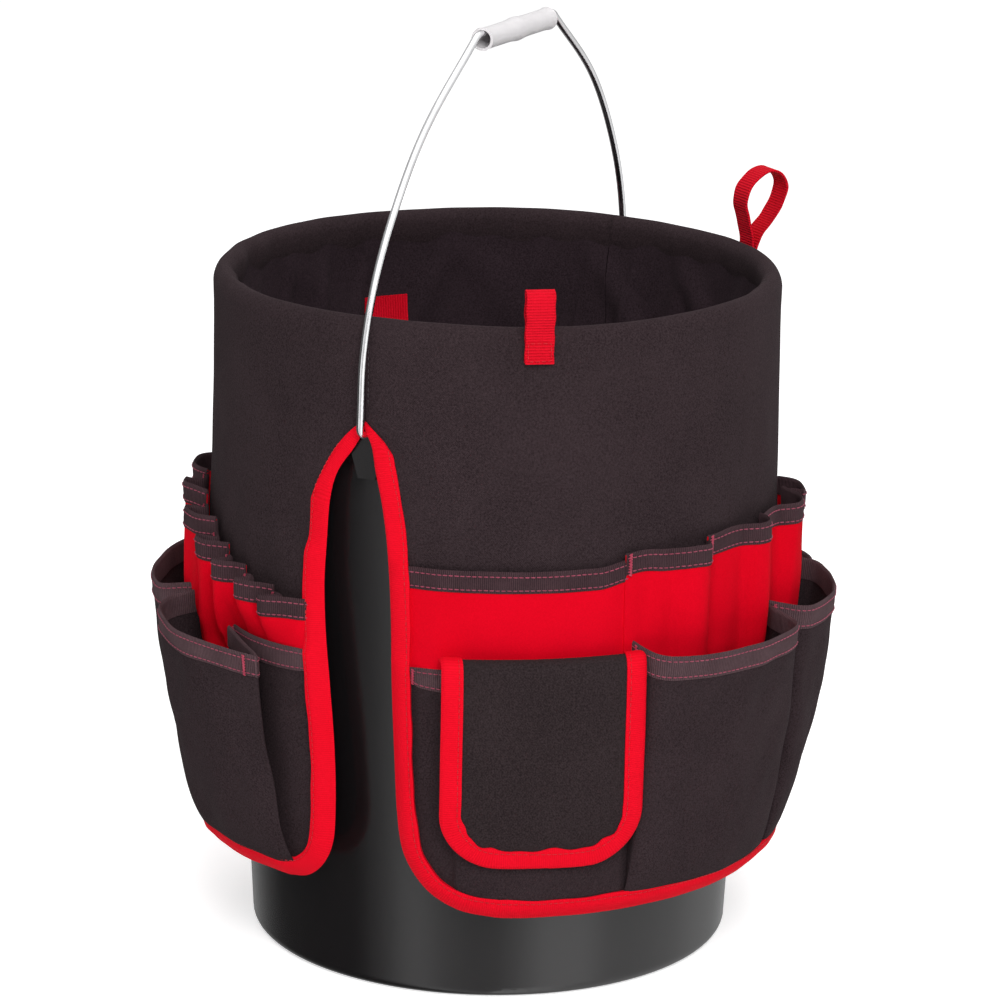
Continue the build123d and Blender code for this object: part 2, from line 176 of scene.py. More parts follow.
def skirt_r(z):
    """Outside radius of the skirt at a height."""
    share = np.clip((z - SKIRT_FULL_Z) / (SKIRT_SHOULDER_Z - SKIRT_FULL_Z), 0, 1)
    return SKIRT_OUT + (SKIRT_TOP_R - SKIRT_OUT) * share


def around(r, a, z):
    """Points at a distance from the pail's axis, an angle in radians and a height."""
    return np.stack([r * np.cos(a), r * np.sin(a), z], -1)


def compass(turn):
    """Outward and sideways directions at an angle of the front panel."""
    a = math.radians(turn)
    return np.array([-math.cos(a), -math.sin(a), 0]), np.array([math.sin(a), -math.cos(a), 0])


def hang(panel, u, r, z):
    """Place points of the sewn shell: the common drape of its layers, then the panel's turn."""
    u, r, z = np.broadcast_arrays(np.asarray(u, float), np.asarray(r, float), np.asarray(z, float))
    free = smooth((RIM_FOOT - z) / 120) * smooth((z - 40) / 40 + 0.3)
    r = r + free * (0.55 * ripples(u, z, 3 + panel, 34, 260) + 0.35 * ripples(u, z, 9 + panel, 15, 120))
    pull = np.exp(-((u - 9 - (313 - z) * 0.32) / 4.5) ** 2) * smooth((z - 225) / 50) * smooth((330 - z) / 40)
    r = r + 1.3 * pull
    rise = 7.0 * smooth((u - 118) / 45) * smooth((215 - z) / 130)
    a = np.radians(u)
    return around(panel * r, a, z + rise)


def mesh_object(name, verts, faces, uvs, material, body, nodes=(), sharp=50):
    """Make a smooth shaded mesh piece in metres, with loop UVs in mm, riding on a body."""
    mesh = bpy.data.meshes.new(name)
    mesh.from_pydata([tuple(v) for v in np.asarray(verts) * MM], [], faces)
    layer = mesh.uv_layers.new(name="UVMap")
    flat = np.array([uvs[i] for face in faces for i in face] if len(uvs) == len(verts) else uvs, float)
    layer.data.foreach_set("uv", flat.astype(np.float32).ravel())
    mesh.polygons.foreach_set("use_smooth", [True] * len(mesh.polygons))
    mesh.set_sharp_from_angle(angle=math.radians(sharp))
    obj = bpy.data.objects.new(name, mesh)
    bpy.context.scene.collection.objects.link(obj)
    mesh.materials.append(material)
    if body:
        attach(obj, body)
    if nodes:
        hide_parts(*nodes)
    return obj


class Pile:
    """Collects several pieces of cloth, tape or thread into one mesh."""

    def __init__(self):
        self.verts, self.faces, self.uvs, self.count = [], [], [], 0

    def put(self, verts, faces, uvs):
        verts = np.asarray(verts, float).reshape(-1, 3)
        self.verts.append(verts)
        self.uvs.append(np.asarray(uvs, float).reshape(-1, 2))
        self.faces.extend([tuple(int(i) + self.count for i in face) for face in faces])
        self.count += len(verts)

    def sheet(self, points, thick, uv=None, closed=False):
        """A cloth sheet: a grid of outside points, rows upwards and columns with the angle."""
        rows, cols = points.shape[:2]
        if closed:
            around = np.concatenate([points[:, -1:], points, points[:, :1]], 1)
            du = (around[:, 2:] - around[:, :-2])
        else:
            du = np.gradient(points, axis=1)
        dv = np.gradient(points, axis=0)
        normal = unit(np.cross(du, dv))
        if uv is None:
            along = np.stack([lengths(points[i]) for i in range(rows)])
            up = np.stack([lengths(points[:, j]) for j in range(cols)], 1)
            uv = np.stack([along, up], -1)
        n = rows * cols
        index = np.arange(n).reshape(rows, cols)
        right = np.roll(index, -1, 1) if closed else index[:, 1:]
        left = index if closed else index[:, :-1]
        quads = np.stack([left[:-1], right[:-1], right[1:], left[1:]], -1).reshape(-1, 4)
        faces = [tuple(q) for q in quads] + [tuple(q[::-1] + n) for q in quads]
        loop = []
        if closed:
            for row, turn in ((0, False), (rows - 1, True)):
                ring = list(index[row])
                pairs = list(zip(ring, ring[1:] + ring[:1]))
                loop += [(b, a) if turn else (a, b) for a, b in pairs]
        else:
            ring = list(index[0]) + list(index[1:, -1]) + list(index[-1, -2::-1]) + list(index[-2:0:-1, 0])
            loop = list(zip(ring, ring[1:] + ring[:1]))
        faces += [(b, a, a + n, b + n) for a, b in loop]
        both = np.concatenate([points.reshape(-1, 3), (points - normal * thick).reshape(-1, 3)])
        self.put(both, faces, np.concatenate([uv.reshape(-1, 2)] * 2))
        return normal

    def strip(self, places, closed=False):
        """A solid strip from its cross sections: an array of stations by section points."""
        stations, around = places.shape[:2]
        along = lengths(places[:, 0])
        ring = np.concatenate([places[0], places[0][:1]])
        across = lengths(ring)[:-1]
        uv = np.stack(np.meshgrid(along, across, indexing="ij"), -1)
        index = np.arange(stations * around).reshape(stations, around)
        faces = []
        turn = np.roll(index, -1, 1)
        last = stations if closed else stations - 1
        for i in range(last):
            j = (i + 1) % stations
            faces += [tuple(q) for q in np.stack([index[i], turn[i], turn[j], index[j]], -1)]
        if not closed:
            faces += [tuple(index[0][::-1]), tuple(index[-1])]
        self.put(places, faces, uv)

    def stitches(self, path, normal, length=STITCH, gap=STITCH_GAP, radius=THREAD_R, lift=0.0):
        """A row of stitches along a path, each a short lozenge of thread pulled into the cloth."""
        at = lengths(path)
        count = int((at[-1] - gap) / (length + gap))
        if count < 1:
            return
        starts = gap + np.arange(count) * (at[-1] - gap) / count
        ring = np.radians(np.arange(6) * 60.0)
        for s in starts:
            want = np.array([0.0, 0.22, 0.78, 1.0]) * length + s
            p = np.stack([np.interp(want, at, path[:, k]) for k in range(3)], 1)
            n = unit(np.stack([np.interp(want, at, normal[:, k]) for k in range(3)], 1))
            t = unit(p[-1] - p[0])
            side = unit(np.cross(n, t))
            size = np.array([0.35, 1.0, 1.0, 0.35]) * radius
            rise = (np.array([-0.25, 0.55, 0.55, -0.25]) * radius + lift)[:, None]
            c = p + n * rise
            verts = (
                c[:, None] + side[:, None] * (np.cos(ring)[None, :, None] * size[:, None, None])
                + n[:, None] * (np.sin(ring)[None, :, None] * size[:, None, None])
            )
            faces = []
            for i in range(3):
                for k in range(6):
                    m = (k + 1) % 6
                    faces.append((i * 6 + k, (i + 1) * 6 + k, (i + 1) * 6 + m, i * 6 + m))
            faces += [tuple(range(6)), tuple(range(23, 17, -1))]
            uv = np.stack(np.meshgrid(want, np.degrees(ring) / 60 * radius, indexing="ij"), -1)
            self.put(verts.reshape(-1, 3), faces, uv.reshape(-1, 2))

    def bartack(self, foot, head, normal, side, width=2.2, pitch=0.75):
        """A dense bar of short stitches across a seam, from foot to head."""
        run = head - foot
        size = np.linalg.norm(run)
        for k in range(int(size / pitch)):
            c = foot + run * (k + 0.5) * pitch / size
            slant = unit(run) * (0.35 if k % 2 else -0.35)
            a, b = c - side * width / 2 - slant, c + side * width / 2 + slant
            path = np.stack([a, b])
            self.stitches(path, np.stack([normal, normal]), width, 0.02, 0.42, 0.15)

    def done(self, name, material, body, slot, nodes=(), sharp=50):
        return mesh_object(
            name, np.concatenate(self.verts), self.faces, np.concatenate(self.uvs),
            material, body, nodes, sharp,
        )


# Materials


def nodes_of(name):
    """A new node material and its principled shader, with a small builder for nodes."""
    mat = bpy.data.materials.new(name)
    mat.use_nodes = True
    tree = mat.node_tree
    shader = next(n for n in tree.nodes if n.type == "BSDF_PRINCIPLED")
    return mat, tree, shader


def maths(tree, operation, a, b=None, c=None):
    """One maths node; inputs are sockets or numbers."""
    node = tree.nodes.new("ShaderNodeMath")
    node.operation = operation
    for i, value in enumerate((a, b, c)):
        if value is None:
            continue
        if isinstance(value, (int, float)):
            node.inputs[i].default_value = value
        else:
            tree.links.new(value, node.inputs[i])
    return node.outputs[0]


def mad(tree, value, scale, shift):
    """Value times a scale plus a shift."""
    return maths(tree, "MULTIPLY_ADD", value, scale, shift)


def settle(shader, **inputs):
    """Set shader inputs by name, with an underscore for each space."""
    for name, value in inputs.items():
        shader.inputs[name.replace("_", " ")].default_value = value


def noise(tree, scale, detail=3.0, coordinates=None):
    """Noise in object space, at a scale per metre."""
    node = tree.nodes.new("ShaderNodeTexNoise")
    node.inputs["Scale"].default_value = scale
    node.inputs["Detail"].default_value = detail
    if coordinates is None:
        coordinates = tree.nodes.new("ShaderNodeTexCoord").outputs["Object"]
    tree.links.new(coordinates, node.inputs["Vector"])
    return node.outputs[0]


def colour(tree, shader, share, dark, light):
    """Base colour between two linear colours."""
    ramp = tree.nodes.new("ShaderNodeValToRGB")
    ramp.color_ramp.elements[0].color = (*dark, 1)
    ramp.color_ramp.elements[1].color = (*light, 1)
    tree.links.new(share, ramp.inputs[0])
    tree.links.new(ramp.outputs[0], shader.inputs["Base Color"])


def bump(tree, shader, height, distance, strength=1.0):
    """Bump from a height socket, with its full depth in metres."""
    node = tree.nodes.new("ShaderNodeBump")
    node.inputs["Distance"].default_value = distance
    node.inputs["Strength"].default_value = strength
    tree.links.new(height, node.inputs["Height"])
    tree.links.new(node.outputs[0], shader.inputs["Normal"])


def uv_axes(tree):
    """The two UV axes in mm."""
    split = tree.nodes.new("ShaderNodeSeparateXYZ")
    tree.links.new(tree.nodes.new("ShaderNodeUVMap").outputs[0], split.inputs[0])
    return split.outputs[0], split.outputs[1]


def wave(tree, axis, pitch):
    """Sine of one axis with a pitch in mm."""
    return maths(tree, "SINE", maths(tree, "MULTIPLY", axis, 2 * math.pi / pitch))


def woven(name, dark, light, pitch, depth, mottle, sheen=0.012, grain=1.0):
    """Plain-woven cloth: crossing yarns with a painted highlight on their crests, fibre speckle and large
    soft colour changes.
    """
    mat, tree, shader = nodes_of(name)
    u, v = uv_axes(tree)
    weave_and_highlight = mad(tree, maths(tree, "MULTIPLY", wave(tree, u, pitch), wave(tree, v, pitch)), 0.5, 0.5)
    speckle = noise(tree, 1150, 2.0)
    patches = noise(tree, 24, 3.0)
    # The weave's yarn crests are painted lighter in the colour, as a painted highlight; the same weave also
    # drives the bump.
    share = mad(tree, weave_and_highlight, 0.30, mad(tree, speckle, grain * 1.1, 0.23 - grain * 0.55))
    share = mad(tree, patches, mottle, maths(tree, "SUBTRACT", share, mottle * 0.5))
    colour(tree, shader, share, dark, light)
    height = maths(tree, "ADD", weave_and_highlight, maths(tree, "MULTIPLY", speckle, 0.6))
    bump(tree, shader, height, depth)
    settle(
        shader, Roughness=0.9, Specular_IOR_Level=0.06, Sheen_Weight=sheen, Sheen_Roughness=0.5,
        Sheen_Tint=(1, 0.8, 0.85, 1),
    )
    return mat


def ribbed(name, dark, light, pitch, depth, sheen=0.02, worn=0.5):
    """Ribbed tape: ribs across its length, with fine cross threads and uneven colour."""
    mat, tree, shader = nodes_of(name)
    u, v = uv_axes(tree)
    ribs = mad(tree, wave(tree, u, pitch), 0.5, 0.5)
    threads = mad(tree, wave(tree, v, pitch * 0.6), 0.5, 0.5)
    speckle = noise(tree, 900, 3.0)
    patches = noise(tree, 60, 2.0)
    share = mad(tree, ribs, 0.35, maths(tree, "MULTIPLY", speckle, 0.4))
    share = mad(tree, patches, worn, maths(tree, "SUBTRACT", share, worn * 0.45))
    colour(tree, shader, share, dark, light)
    height = maths(tree, "ADD", ribs, mad(tree, threads, 0.25, maths(tree, "MULTIPLY", speckle, 0.4)))
    bump(tree, shader, height, depth)
    settle(
        shader, Roughness=0.8, Specular_IOR_Level=0.1, Sheen_Weight=sheen,
        Sheen_Tint=(1, 0.7, 0.75, 1),
    )
    return mat


def tufted(name, dark, light, scale):
    """Hook or loop tape: a dense uneven pile."""
    mat, tree, shader = nodes_of(name)
    cells = tree.nodes.new("ShaderNodeTexVoronoi")
    cells.inputs["Scale"].default_value = scale
    tree.links.new(tree.nodes.new("ShaderNodeTexCoord").outputs["Object"], cells.inputs["Vector"])
    fluff = noise(tree, scale * 2, 4.0)
    share = mad(tree, fluff, 0.4, maths(tree, "MULTIPLY", cells.outputs["Distance"], 0.8))
    colour(tree, shader, share, dark, light)
    bump(tree, shader, share, 0.0006)
    settle(shader, Roughness=0.9, Specular_IOR_Level=0.1, Sheen_Weight=0.05)
    return mat


def thread(name, dark, light):
    """Sewing thread: two twisted plies along each stitch."""
    mat, tree, shader = nodes_of(name)
    u, v = uv_axes(tree)
    twist = wave(tree, maths(tree, "ADD", u, v), 0.55)
    share = mad(tree, twist, 0.25, noise(tree, 260, 2.0))
    colour(tree, shader, share, dark, light)
    bump(tree, shader, twist, 0.00008)
    settle(shader, Roughness=0.55)
    return mat


def steel():
    """Drawn zinc-plated wire: fine lines along it and a few dull patches."""
    mat, tree, shader = nodes_of("drawn_steel")
    lines = noise(tree, 600, 4.0)
    dull = noise(tree, 45, 3.0)
    colour(tree, shader, dull, (0.52, 0.52, 0.53), (0.86, 0.86, 0.87))
    tree.links.new(mad(tree, dull, 0.22, 0.10), shader.inputs["Roughness"])
    bump(tree, shader, lines, 0.00003)
    settle(shader, Metallic=1.0)
    return mat


def pail_plastic():
    """Glossy dark moulded plastic with faint flow marks and scuffs."""
    mat, tree, shader = nodes_of("pail_plastic")
    flow = tree.nodes.new("ShaderNodeMapping")
    flow.inputs["Scale"].default_value = (1, 1, 0.12)
    tree.links.new(tree.nodes.new("ShaderNodeTexCoord").outputs["Object"], flow.inputs["Vector"])
    marks = noise(tree, 30, 4.0, flow.outputs[0])
    scuffs = noise(tree, 420, 5.0)
    colour(tree, shader, marks, (0.0045, 0.0038, 0.0042), (0.011, 0.0092, 0.0100))
    rough = mad(tree, scuffs, 0.12, mad(tree, marks, 0.08, 0.10))
    tree.links.new(rough, shader.inputs["Roughness"])
    bump(tree, shader, mad(tree, scuffs, 0.2, marks), 0.00012)
    settle(shader, IOR=1.5)
    return mat


def grip_plastic():
    """White slightly clear moulded plastic with shallow sink marks."""
    mat, tree, shader = nodes_of("grip_plastic")
    sinks = noise(tree, 90, 3.0)
    grain = noise(tree, 1500, 2.0)
    colour(tree, shader, sinks, (0.70, 0.675, 0.69), (0.82, 0.80, 0.81))
    tree.links.new(mad(tree, grain, 0.15, 0.28), shader.inputs["Roughness"])
    bump(tree, shader, mad(tree, grain, 0.1, sinks), 0.0002)
    settle(shader, Subsurface_Weight=0.35, Subsurface_Radius=(0.004, 0.004, 0.004))
    return mat


BLACK = woven("black_cloth", (0.012, 0.0072, 0.0085), (0.064, 0.043, 0.048), 0.9, 0.00016, 0.30)
# Flap cloth: the black cloth painted about 0.8 times darker, as painted shade for the flap's side turned away
# from the light.
FLAP_SHADED_CLOTH = woven("flap_cloth_painted_shade", (0.011, 0.0075, 0.008), (0.056, 0.039, 0.042), 0.8, 0.00016, 0.25, grain=1.1)
LINING = woven("lining_cloth", (0.010, 0.0062, 0.0078), (0.052, 0.033, 0.041), 0.6, 0.00008, 0.35)
RED = woven("red_cloth", (0.58, 0.0, 0.006), (0.86, 0.001, 0.020), 0.7, 0.00008, 0.30, sheen=0.0, grain=0.5)
BINDING_RED = ribbed("red_binding", (0.66, 0, 0.008), (0.93, 0.002, 0.024), 1.1, 0.00008, 0.0, 0.25)
WEBBING_RED = ribbed("red_webbing", (0.50, 0, 0.006), (0.90, 0.006, 0.03), 1.5, 0.00035, 0.0, 0.4)
TAPE_GREY = ribbed("mouth_tape", (0.030, 0.016, 0.019), (0.165, 0.098, 0.110), 1.05, 0.00030)
BAND_GREY = ribbed("band_tape", (0.018, 0.009, 0.011), (0.100, 0.055, 0.064), 1.05, 0.00030)
PINK_THREAD = thread("pink_thread", (0.24, 0.030, 0.065), (0.48, 0.09, 0.15))
BARTACK_THREAD = thread("bartack_thread", (0.38, 0.02, 0.06), (0.62, 0.08, 0.14))
RED_THREAD = thread("red_thread", (0.55, 0.0, 0.006), (0.80, 0.004, 0.02))
DARK_THREAD = thread("dark_thread", (0.02, 0.014, 0.015), (0.07, 0.055, 0.06))
HOOKS = tufted("hook_tape", (0.01, 0.008, 0.008), (0.06, 0.05, 0.05), 900)
LOOPS = tufted("loop_tape", (0.014, 0.012, 0.012), (0.09, 0.08, 0.08), 600)


# Skirt, collar and lining


def edge_outline(edge, foot):
    """Free edge from the slit's top round the hem corner: distance from the ear line, height."""
    x, z, radius = foot
    points = [SLIT_TOP, *edge, (x, z)]
    drop = z - HEM
    for turn in (22.5, 45, 67.5, 90):
        a = math.radians(turn)
        points.append((x + radius * (1 - math.cos(a)), z - drop * math.sin(a)))
    return spline(points, np.linspace(0, len(points) - 1, 260))


START = edge_outline(START_EDGE, START_FOOT)
END = edge_outline(END_EDGE, END_FOOT)
ARC = math.pi * SKIRT_OUT / 180


def edge_u(outline, z, inset=0.0):
    """Angle between the ear line and the free edge at a height, moved into the panel."""
    x = np.interp(-np.asarray(z, float), -outline[:, 1], outline[:, 0])
    return np.degrees(np.arcsin(np.clip((x + inset) / skirt_r(z), 0, 1)))


def skirt(name, panel):
    """Outer cloth of one panel, from the collar to the hem, cut away along its slits."""
    upper = np.linspace(RIM_FOOT - 6, SLIT_TOP[1], 14)
    lower = SLIT_TOP[1] - (SLIT_TOP[1] - HEM - 1.5) * np.linspace(0, 1, 78)[1:] ** 0.8
    z = np.concatenate([upper, lower])[::-1]
    start = np.where(z < SLIT_TOP[1], edge_u(START, z, 1.5), 0.06)
    end = np.where(z < SLIT_TOP[1], edge_u(END, z, 1.5), 0.06)
    share = np.linspace(0, 1, 230)
    u = start[:, None] + (180 - start - end)[:, None] * share[None]
    zz = np.repeat(z[:, None], u.shape[1], 1)
    crease = 0.8 * np.exp(-(np.minimum(u, 180 - u) / 0.5) ** 2) * (zz > SLIT_TOP[1] - 4)
    pile = Pile()
    pile.sheet(hang(panel, u, skirt_r(zz) - 0.1 - crease, zz), CLOTH, np.stack([u * ARC, zz], -1))
    return pile.done(f"{name}_skirt_panel_cloth", BLACK, "bucket", "black_cloth", [f"{name}_skirt_panel"])


def roll_section():
    """Section of the collar from its outer foot over the top to its inner foot: r, z."""
    crown = RIM_TOP - 0.6
    points = [
        (SKIRT_TOP_R - 0.1, RIM_FOOT - 6), (SKIRT_TOP_R + 0.1, RIM_FOOT + 2), (SKIRT_TOP_R, crown - 7),
        (SKIRT_TOP_R - 1.8, crown - 2.6), (SKIRT_TOP_R - 5.2, crown), (RIM_INNER + 2.2, crown - 1.6),
        (RIM_INNER, crown - 5.5), (RIM_INNER + 0.2, RIM_FOOT + 1), (RIM_INNER + 1.8, RIM_FOOT - 5),
    ]
    return spline(points, np.linspace(0, len(points) - 1, 44))


def collar():
    """Padded roll over the pail's lip, with puckers on its inner side."""
    section = roll_section()
    u = np.arange(0, 360, 1.0)
    r = np.repeat(section[:, :1], len(u), 1)
    z = np.repeat(section[:, 1:], len(u), 1)
    inner = smooth(np.linspace(-0.4, 1.4, len(section)))[:, None]
    turn = np.repeat(u[None], len(section), 0)
    pucker = ripples(turn, z * 0, 21, 24, 100) * 0.55 + ripples(turn, z * 0, 22, 11, 100) * 0.4
    r = r + inner * pucker
    z = z + smooth((z - RIM_FOOT) / 12) * 0.45 * ripples(turn, z * 0, 25, 72, 100)
    seam = np.exp(-(np.minimum(turn % 180, 180 - turn % 180) / 0.7) ** 2)
    r = r - 0.7 * seam * (1 - inner)
    a = np.radians(turn)
    points = around(r, a, z)
    along = np.repeat(lengths(section)[:, None], len(u), 1)
    pile = Pile()
    pile.sheet(points, CLOTH, np.stack([turn * ARC, along], -1), closed=True)
    return pile.done("rim_collar_roll", BLACK, "bucket", "black_cloth", ["rim_collar"])


def lining_point(u, z):
    """Lining at an angle round the pail: hangs from the roll in soft slanting folds."""
    top = RIM_FOOT + 4
    depth = (top - z) / (top - LINING_LOW)
    r = RIM_INNER + 1.4 + (136.6 - RIM_INNER - 1.4) * smooth(depth * 1.5)
    slant = u + 42 * depth
    folds = np.maximum(0, np.sin(np.radians(slant * 11) + 1.3 * np.sin(np.radians(slant * 3)))) ** 2
    fine = np.maximum(0, np.sin(np.radians((u - 20 * depth) * 23) + 2 * np.sin(np.radians(u * 5)))) ** 3
    patch = 0.5 + 0.5 * np.sin(np.radians(u * 2 + 60)) * np.sin(np.radians(u * 5 + 200))
    fade = smooth(depth * 6) * (1 - 0.5 * smooth((depth - 0.6) / 0.4))
    r = r - fade * (5.4 * folds * (0.35 + 0.65 * patch) + 2.1 * fine)
    a = np.radians(u)
    return around(r, a, z + 0 * u)


def lining(name, panel):
    """Half of the inner lining with its drape folds."""
    first = 180 if panel < 0 else 0
    u = np.linspace(first + 0.1, first + 179.9, 260)
    z = np.linspace(RIM_FOOT + 4, LINING_LOW, 64)
    uu, zz = np.meshgrid(u, z)
    pile = Pile()
    pile.sheet(lining_point(uu, zz), 0.8, np.stack([uu * ARC, zz], -1))
    return pile.done(f"{name}_lining_panel_cloth", LINING, "bucket", "lining_cloth", [f"{name}_lining_panel"])


def ear_seams():
    """Thread beside the two seams that join the panels above the slits."""
    pile = Pile()
    for panel in PANELS.values():
        z = np.linspace(RIM_TOP - 12, SLIT_TOP[1] + 12, 60)
        for u in (0.75, 179.25):
            path = hang(panel, np.full_like(z, u), skirt_r(z), z)
            pile.stitches(path, unit(path * [1, 1, 0]), 2.2, 1.0, 0.22)
    return pile.done("ear_seam_thread", DARK_THREAD, "bucket", "black_cloth")


# Tapes sewn round edges


def tape_section(width, cloth, tape, back=None):
    """Cross section of a folded tape: distance into the cloth from the edge, height."""
    back = width - 1.2 if back is None else back
    h, t = cloth / 2, tape
    return np.array([
        (width, h - 0.1), (width, h + t * 0.75), (width - 0.7, h + t), (width * 0.5, h + t * 1.12),
        (1.6, h + t), (0.4, h + t * 0.55), (-t * 0.8, 0.15), (0.4, -h - t * 0.55), (1.6, -h - t),
        (back, -h - t), (back + 0.3, -h),
    ])


def binding_path():
    """Developed path of a panel's binding: down the first slit, along the hem, up the second."""
    span = 180 * ARC
    down = np.concatenate([[(0.2, 317.0), (0.1, 315.4)], START])
    down[2:, 0] = edge_u(START, START[:, 1]) * ARC
    up = np.concatenate([[(-1.4, 316.6), (-0.6, 315.0)], END])
    up[2:, 0] = edge_u(END, END[:, 1]) * ARC
    hem = np.linspace(down[-1, 0], span - up[-1, 0], 160)[1:-1]
    hem = np.stack([hem, np.full_like(hem, HEM)], 1)
    up = up[::-1] * [-1, 1] + [span, 0]
    return resample(np.concatenate([down, hem, up]), 2.0)


BINDING_PATH = binding_path()
BINDING_ACROSS = unit(np.gradient(BINDING_PATH, axis=0))[:, ::-1] * [-1, 1]
BINDING_INNER = BINDING_PATH + BINDING_ACROSS * (BINDING - 3.0)


def edge_binding(name, panel):
    """Red tape folded round a panel's free edge, with its row of stitches."""
    path, across = BINDING_PATH, BINDING_ACROSS
    section = tape_section(BINDING, CLOTH + 0.3, 0.75)
    along = lengths(path)

    def place(w, h):
        p = path + across * w[:, None]
        u = np.clip(p[:, 0] / ARC, 0.08, 179.92)
        away = np.minimum(u, 180 - u) * ARC
        z = np.minimum(p[:, 1], np.maximum(317.2 - 0.5 * away - 0.028 * away**2, 262.0))
        over = smooth(w / 7) * (h > 0)
        lift = over * (2.6 * smooth((252 - z) / 10) + 2.2 * smooth((197 - z) / 10))
        return hang(panel, u, skirt_r(z) - CLOTH / 2 + h + lift, z)

    wobble = 0.3 * np.sin(along / 11.0) + 0.2 * np.sin(along / 4.3 + 1)
    stations = [place(np.full(len(path), w) + (wobble if w > BINDING - 1 else 0), h) for w, h in section]
    pile = Pile()
    pile.strip(np.stack(stations, 1))
    node = f"{name}_edge_binding"
    pile.done(f"{node}_tape", BINDING_RED, "bucket", "red_binding", [node])
    keep = slice(8, -8)
    row = place(np.full(len(path), BINDING - 1.9), CLOTH / 2 + 0.95)[keep]
    out = place(np.full(len(path), BINDING - 1.9), CLOTH / 2 + 1.95)[keep]
    seam = Pile()
    seam.stitches(row, unit(out - row), radius=0.24)
    seam.done(f"{node}_thread", RED_THREAD, "bucket", "red_binding")


def flat_points(places, base):
    """Plan points in mm from angles and stand-offs beyond a base distance."""
    turns = [(math.radians(u), base + r) for u, r in places]
    return np.array([(r * math.cos(a), r * math.sin(a)) for a, r in turns])


# Upper tier: the red tool band and its tape. Each bay: top height, plan points (angle, distance)
BODY = BAND_R + 0.6


def sleeve(first, corner, last, out, crown=0.0):
    """Plan of a narrow sleeve: a tip past its bartack, a flank back out, a face to the next."""
    middle = (corner + last) / 2
    return [
        (first - 0.3, 0.4), (first + 1.6, 1.0), (first + 2.6, 2.2), (corner + 0.5, out * 0.78),
        (corner, out), (corner + 1.4, out + 0.9), (middle, out * 0.82 + crown),
        (last - 1.8, out * 0.34), (last, 0),
    ]


BAYS = [
    (243.5, [(8.7, -2.0), (16, 0.2), (32, 0.8), (44, 0.4), (49, 0.8), (52.4, 0)]),
    (250.0, [(51.6, 0.8), (56, 0.5), (60.5, 0.9), (62.4, 3.5), (64.4, 7.2),
             (67.2, 8.4), (69.4, 6.2), (71.4, 0)]),
    (252.0, [(70.8, 0.8), (75, 0.6), (80.6, 1.2), (82.4, 4.2), (84, 8.0),
             (86.2, 9.6), (88.4, 6.6), (90.4, 0)]),
    (251.0, [(89.8, 0.8), (94, 0.6), (98.6, 1.4), (100, 5.5), (101.4, 9.6),
             (104, 11.2), (108.6, 8.6), (113, 0)]),
    (248.0, sleeve(113, 114.6, 124.5, 10.4, 0.6)),
    (240.0, sleeve(124.5, 125, 135, 10.8)),
    (232.0, sleeve(135, 135.4, 142.4, 10.8)),
    (226.0, sleeve(142.4, 144.2, 150.3, 10.6)),
    (221.0, sleeve(150.3, 152.3, 159.2, 10.4)),
    (217.0, sleeve(159.2, 158.6, 168.4, 9.0, -1.0)[:-1] + [(168.6, -1.6)]),
]


GATHER_Z = 181.0
BAND_TUCK = SKIRT_OUT + 1.0


def bay_shape(points, step=1.1):
    """Plan of one bay at its top, and the angle and stand-off of each place on it."""
    flat = flat_points(points, BODY)
    curve = spline(flat, even_steps(flat, step))
    return np.degrees(np.arctan2(curve[:, 1], curve[:, 0])), np.hypot(curve[:, 0], curve[:, 1])


def band_place(panel, u, r, z, top):
    """A place on the band: its pleats stand out at the top and die away towards the foot."""
    flat = smooth((np.asarray(u) - 141) / 6)
    foot = BAND_LOW + flat * (GATHER_Z - BAND_LOW)
    share = 0.12 - 0.08 * flat + (0.88 + 0.08 * flat) * smooth((z - foot) / (top - 38 + 29 * flat - foot))
    flare = 1 + 0.06 * smooth((z - top + 30) / 30)
    loose = smooth((top - z) / 26) * smooth((np.asarray(u) - 48) / 8) * (1 - flat)
    rest = BODY + (BAND_TUCK - BODY) * smooth((187 - z) / 7)
    r = rest + (r - BODY) * share * flare + loose * 0.8 * ripples(u, z, 77, 8.5, 420)
    return hang(panel, u, np.maximum(r, BAND_TUCK), z)


def plan_normal(points):
    """Outward normals along rows of band or pocket places."""
    run = np.gradient(points, axis=-2)
    up = np.zeros_like(points)
    up[..., 2] = 1
    return unit(np.cross(run, up))


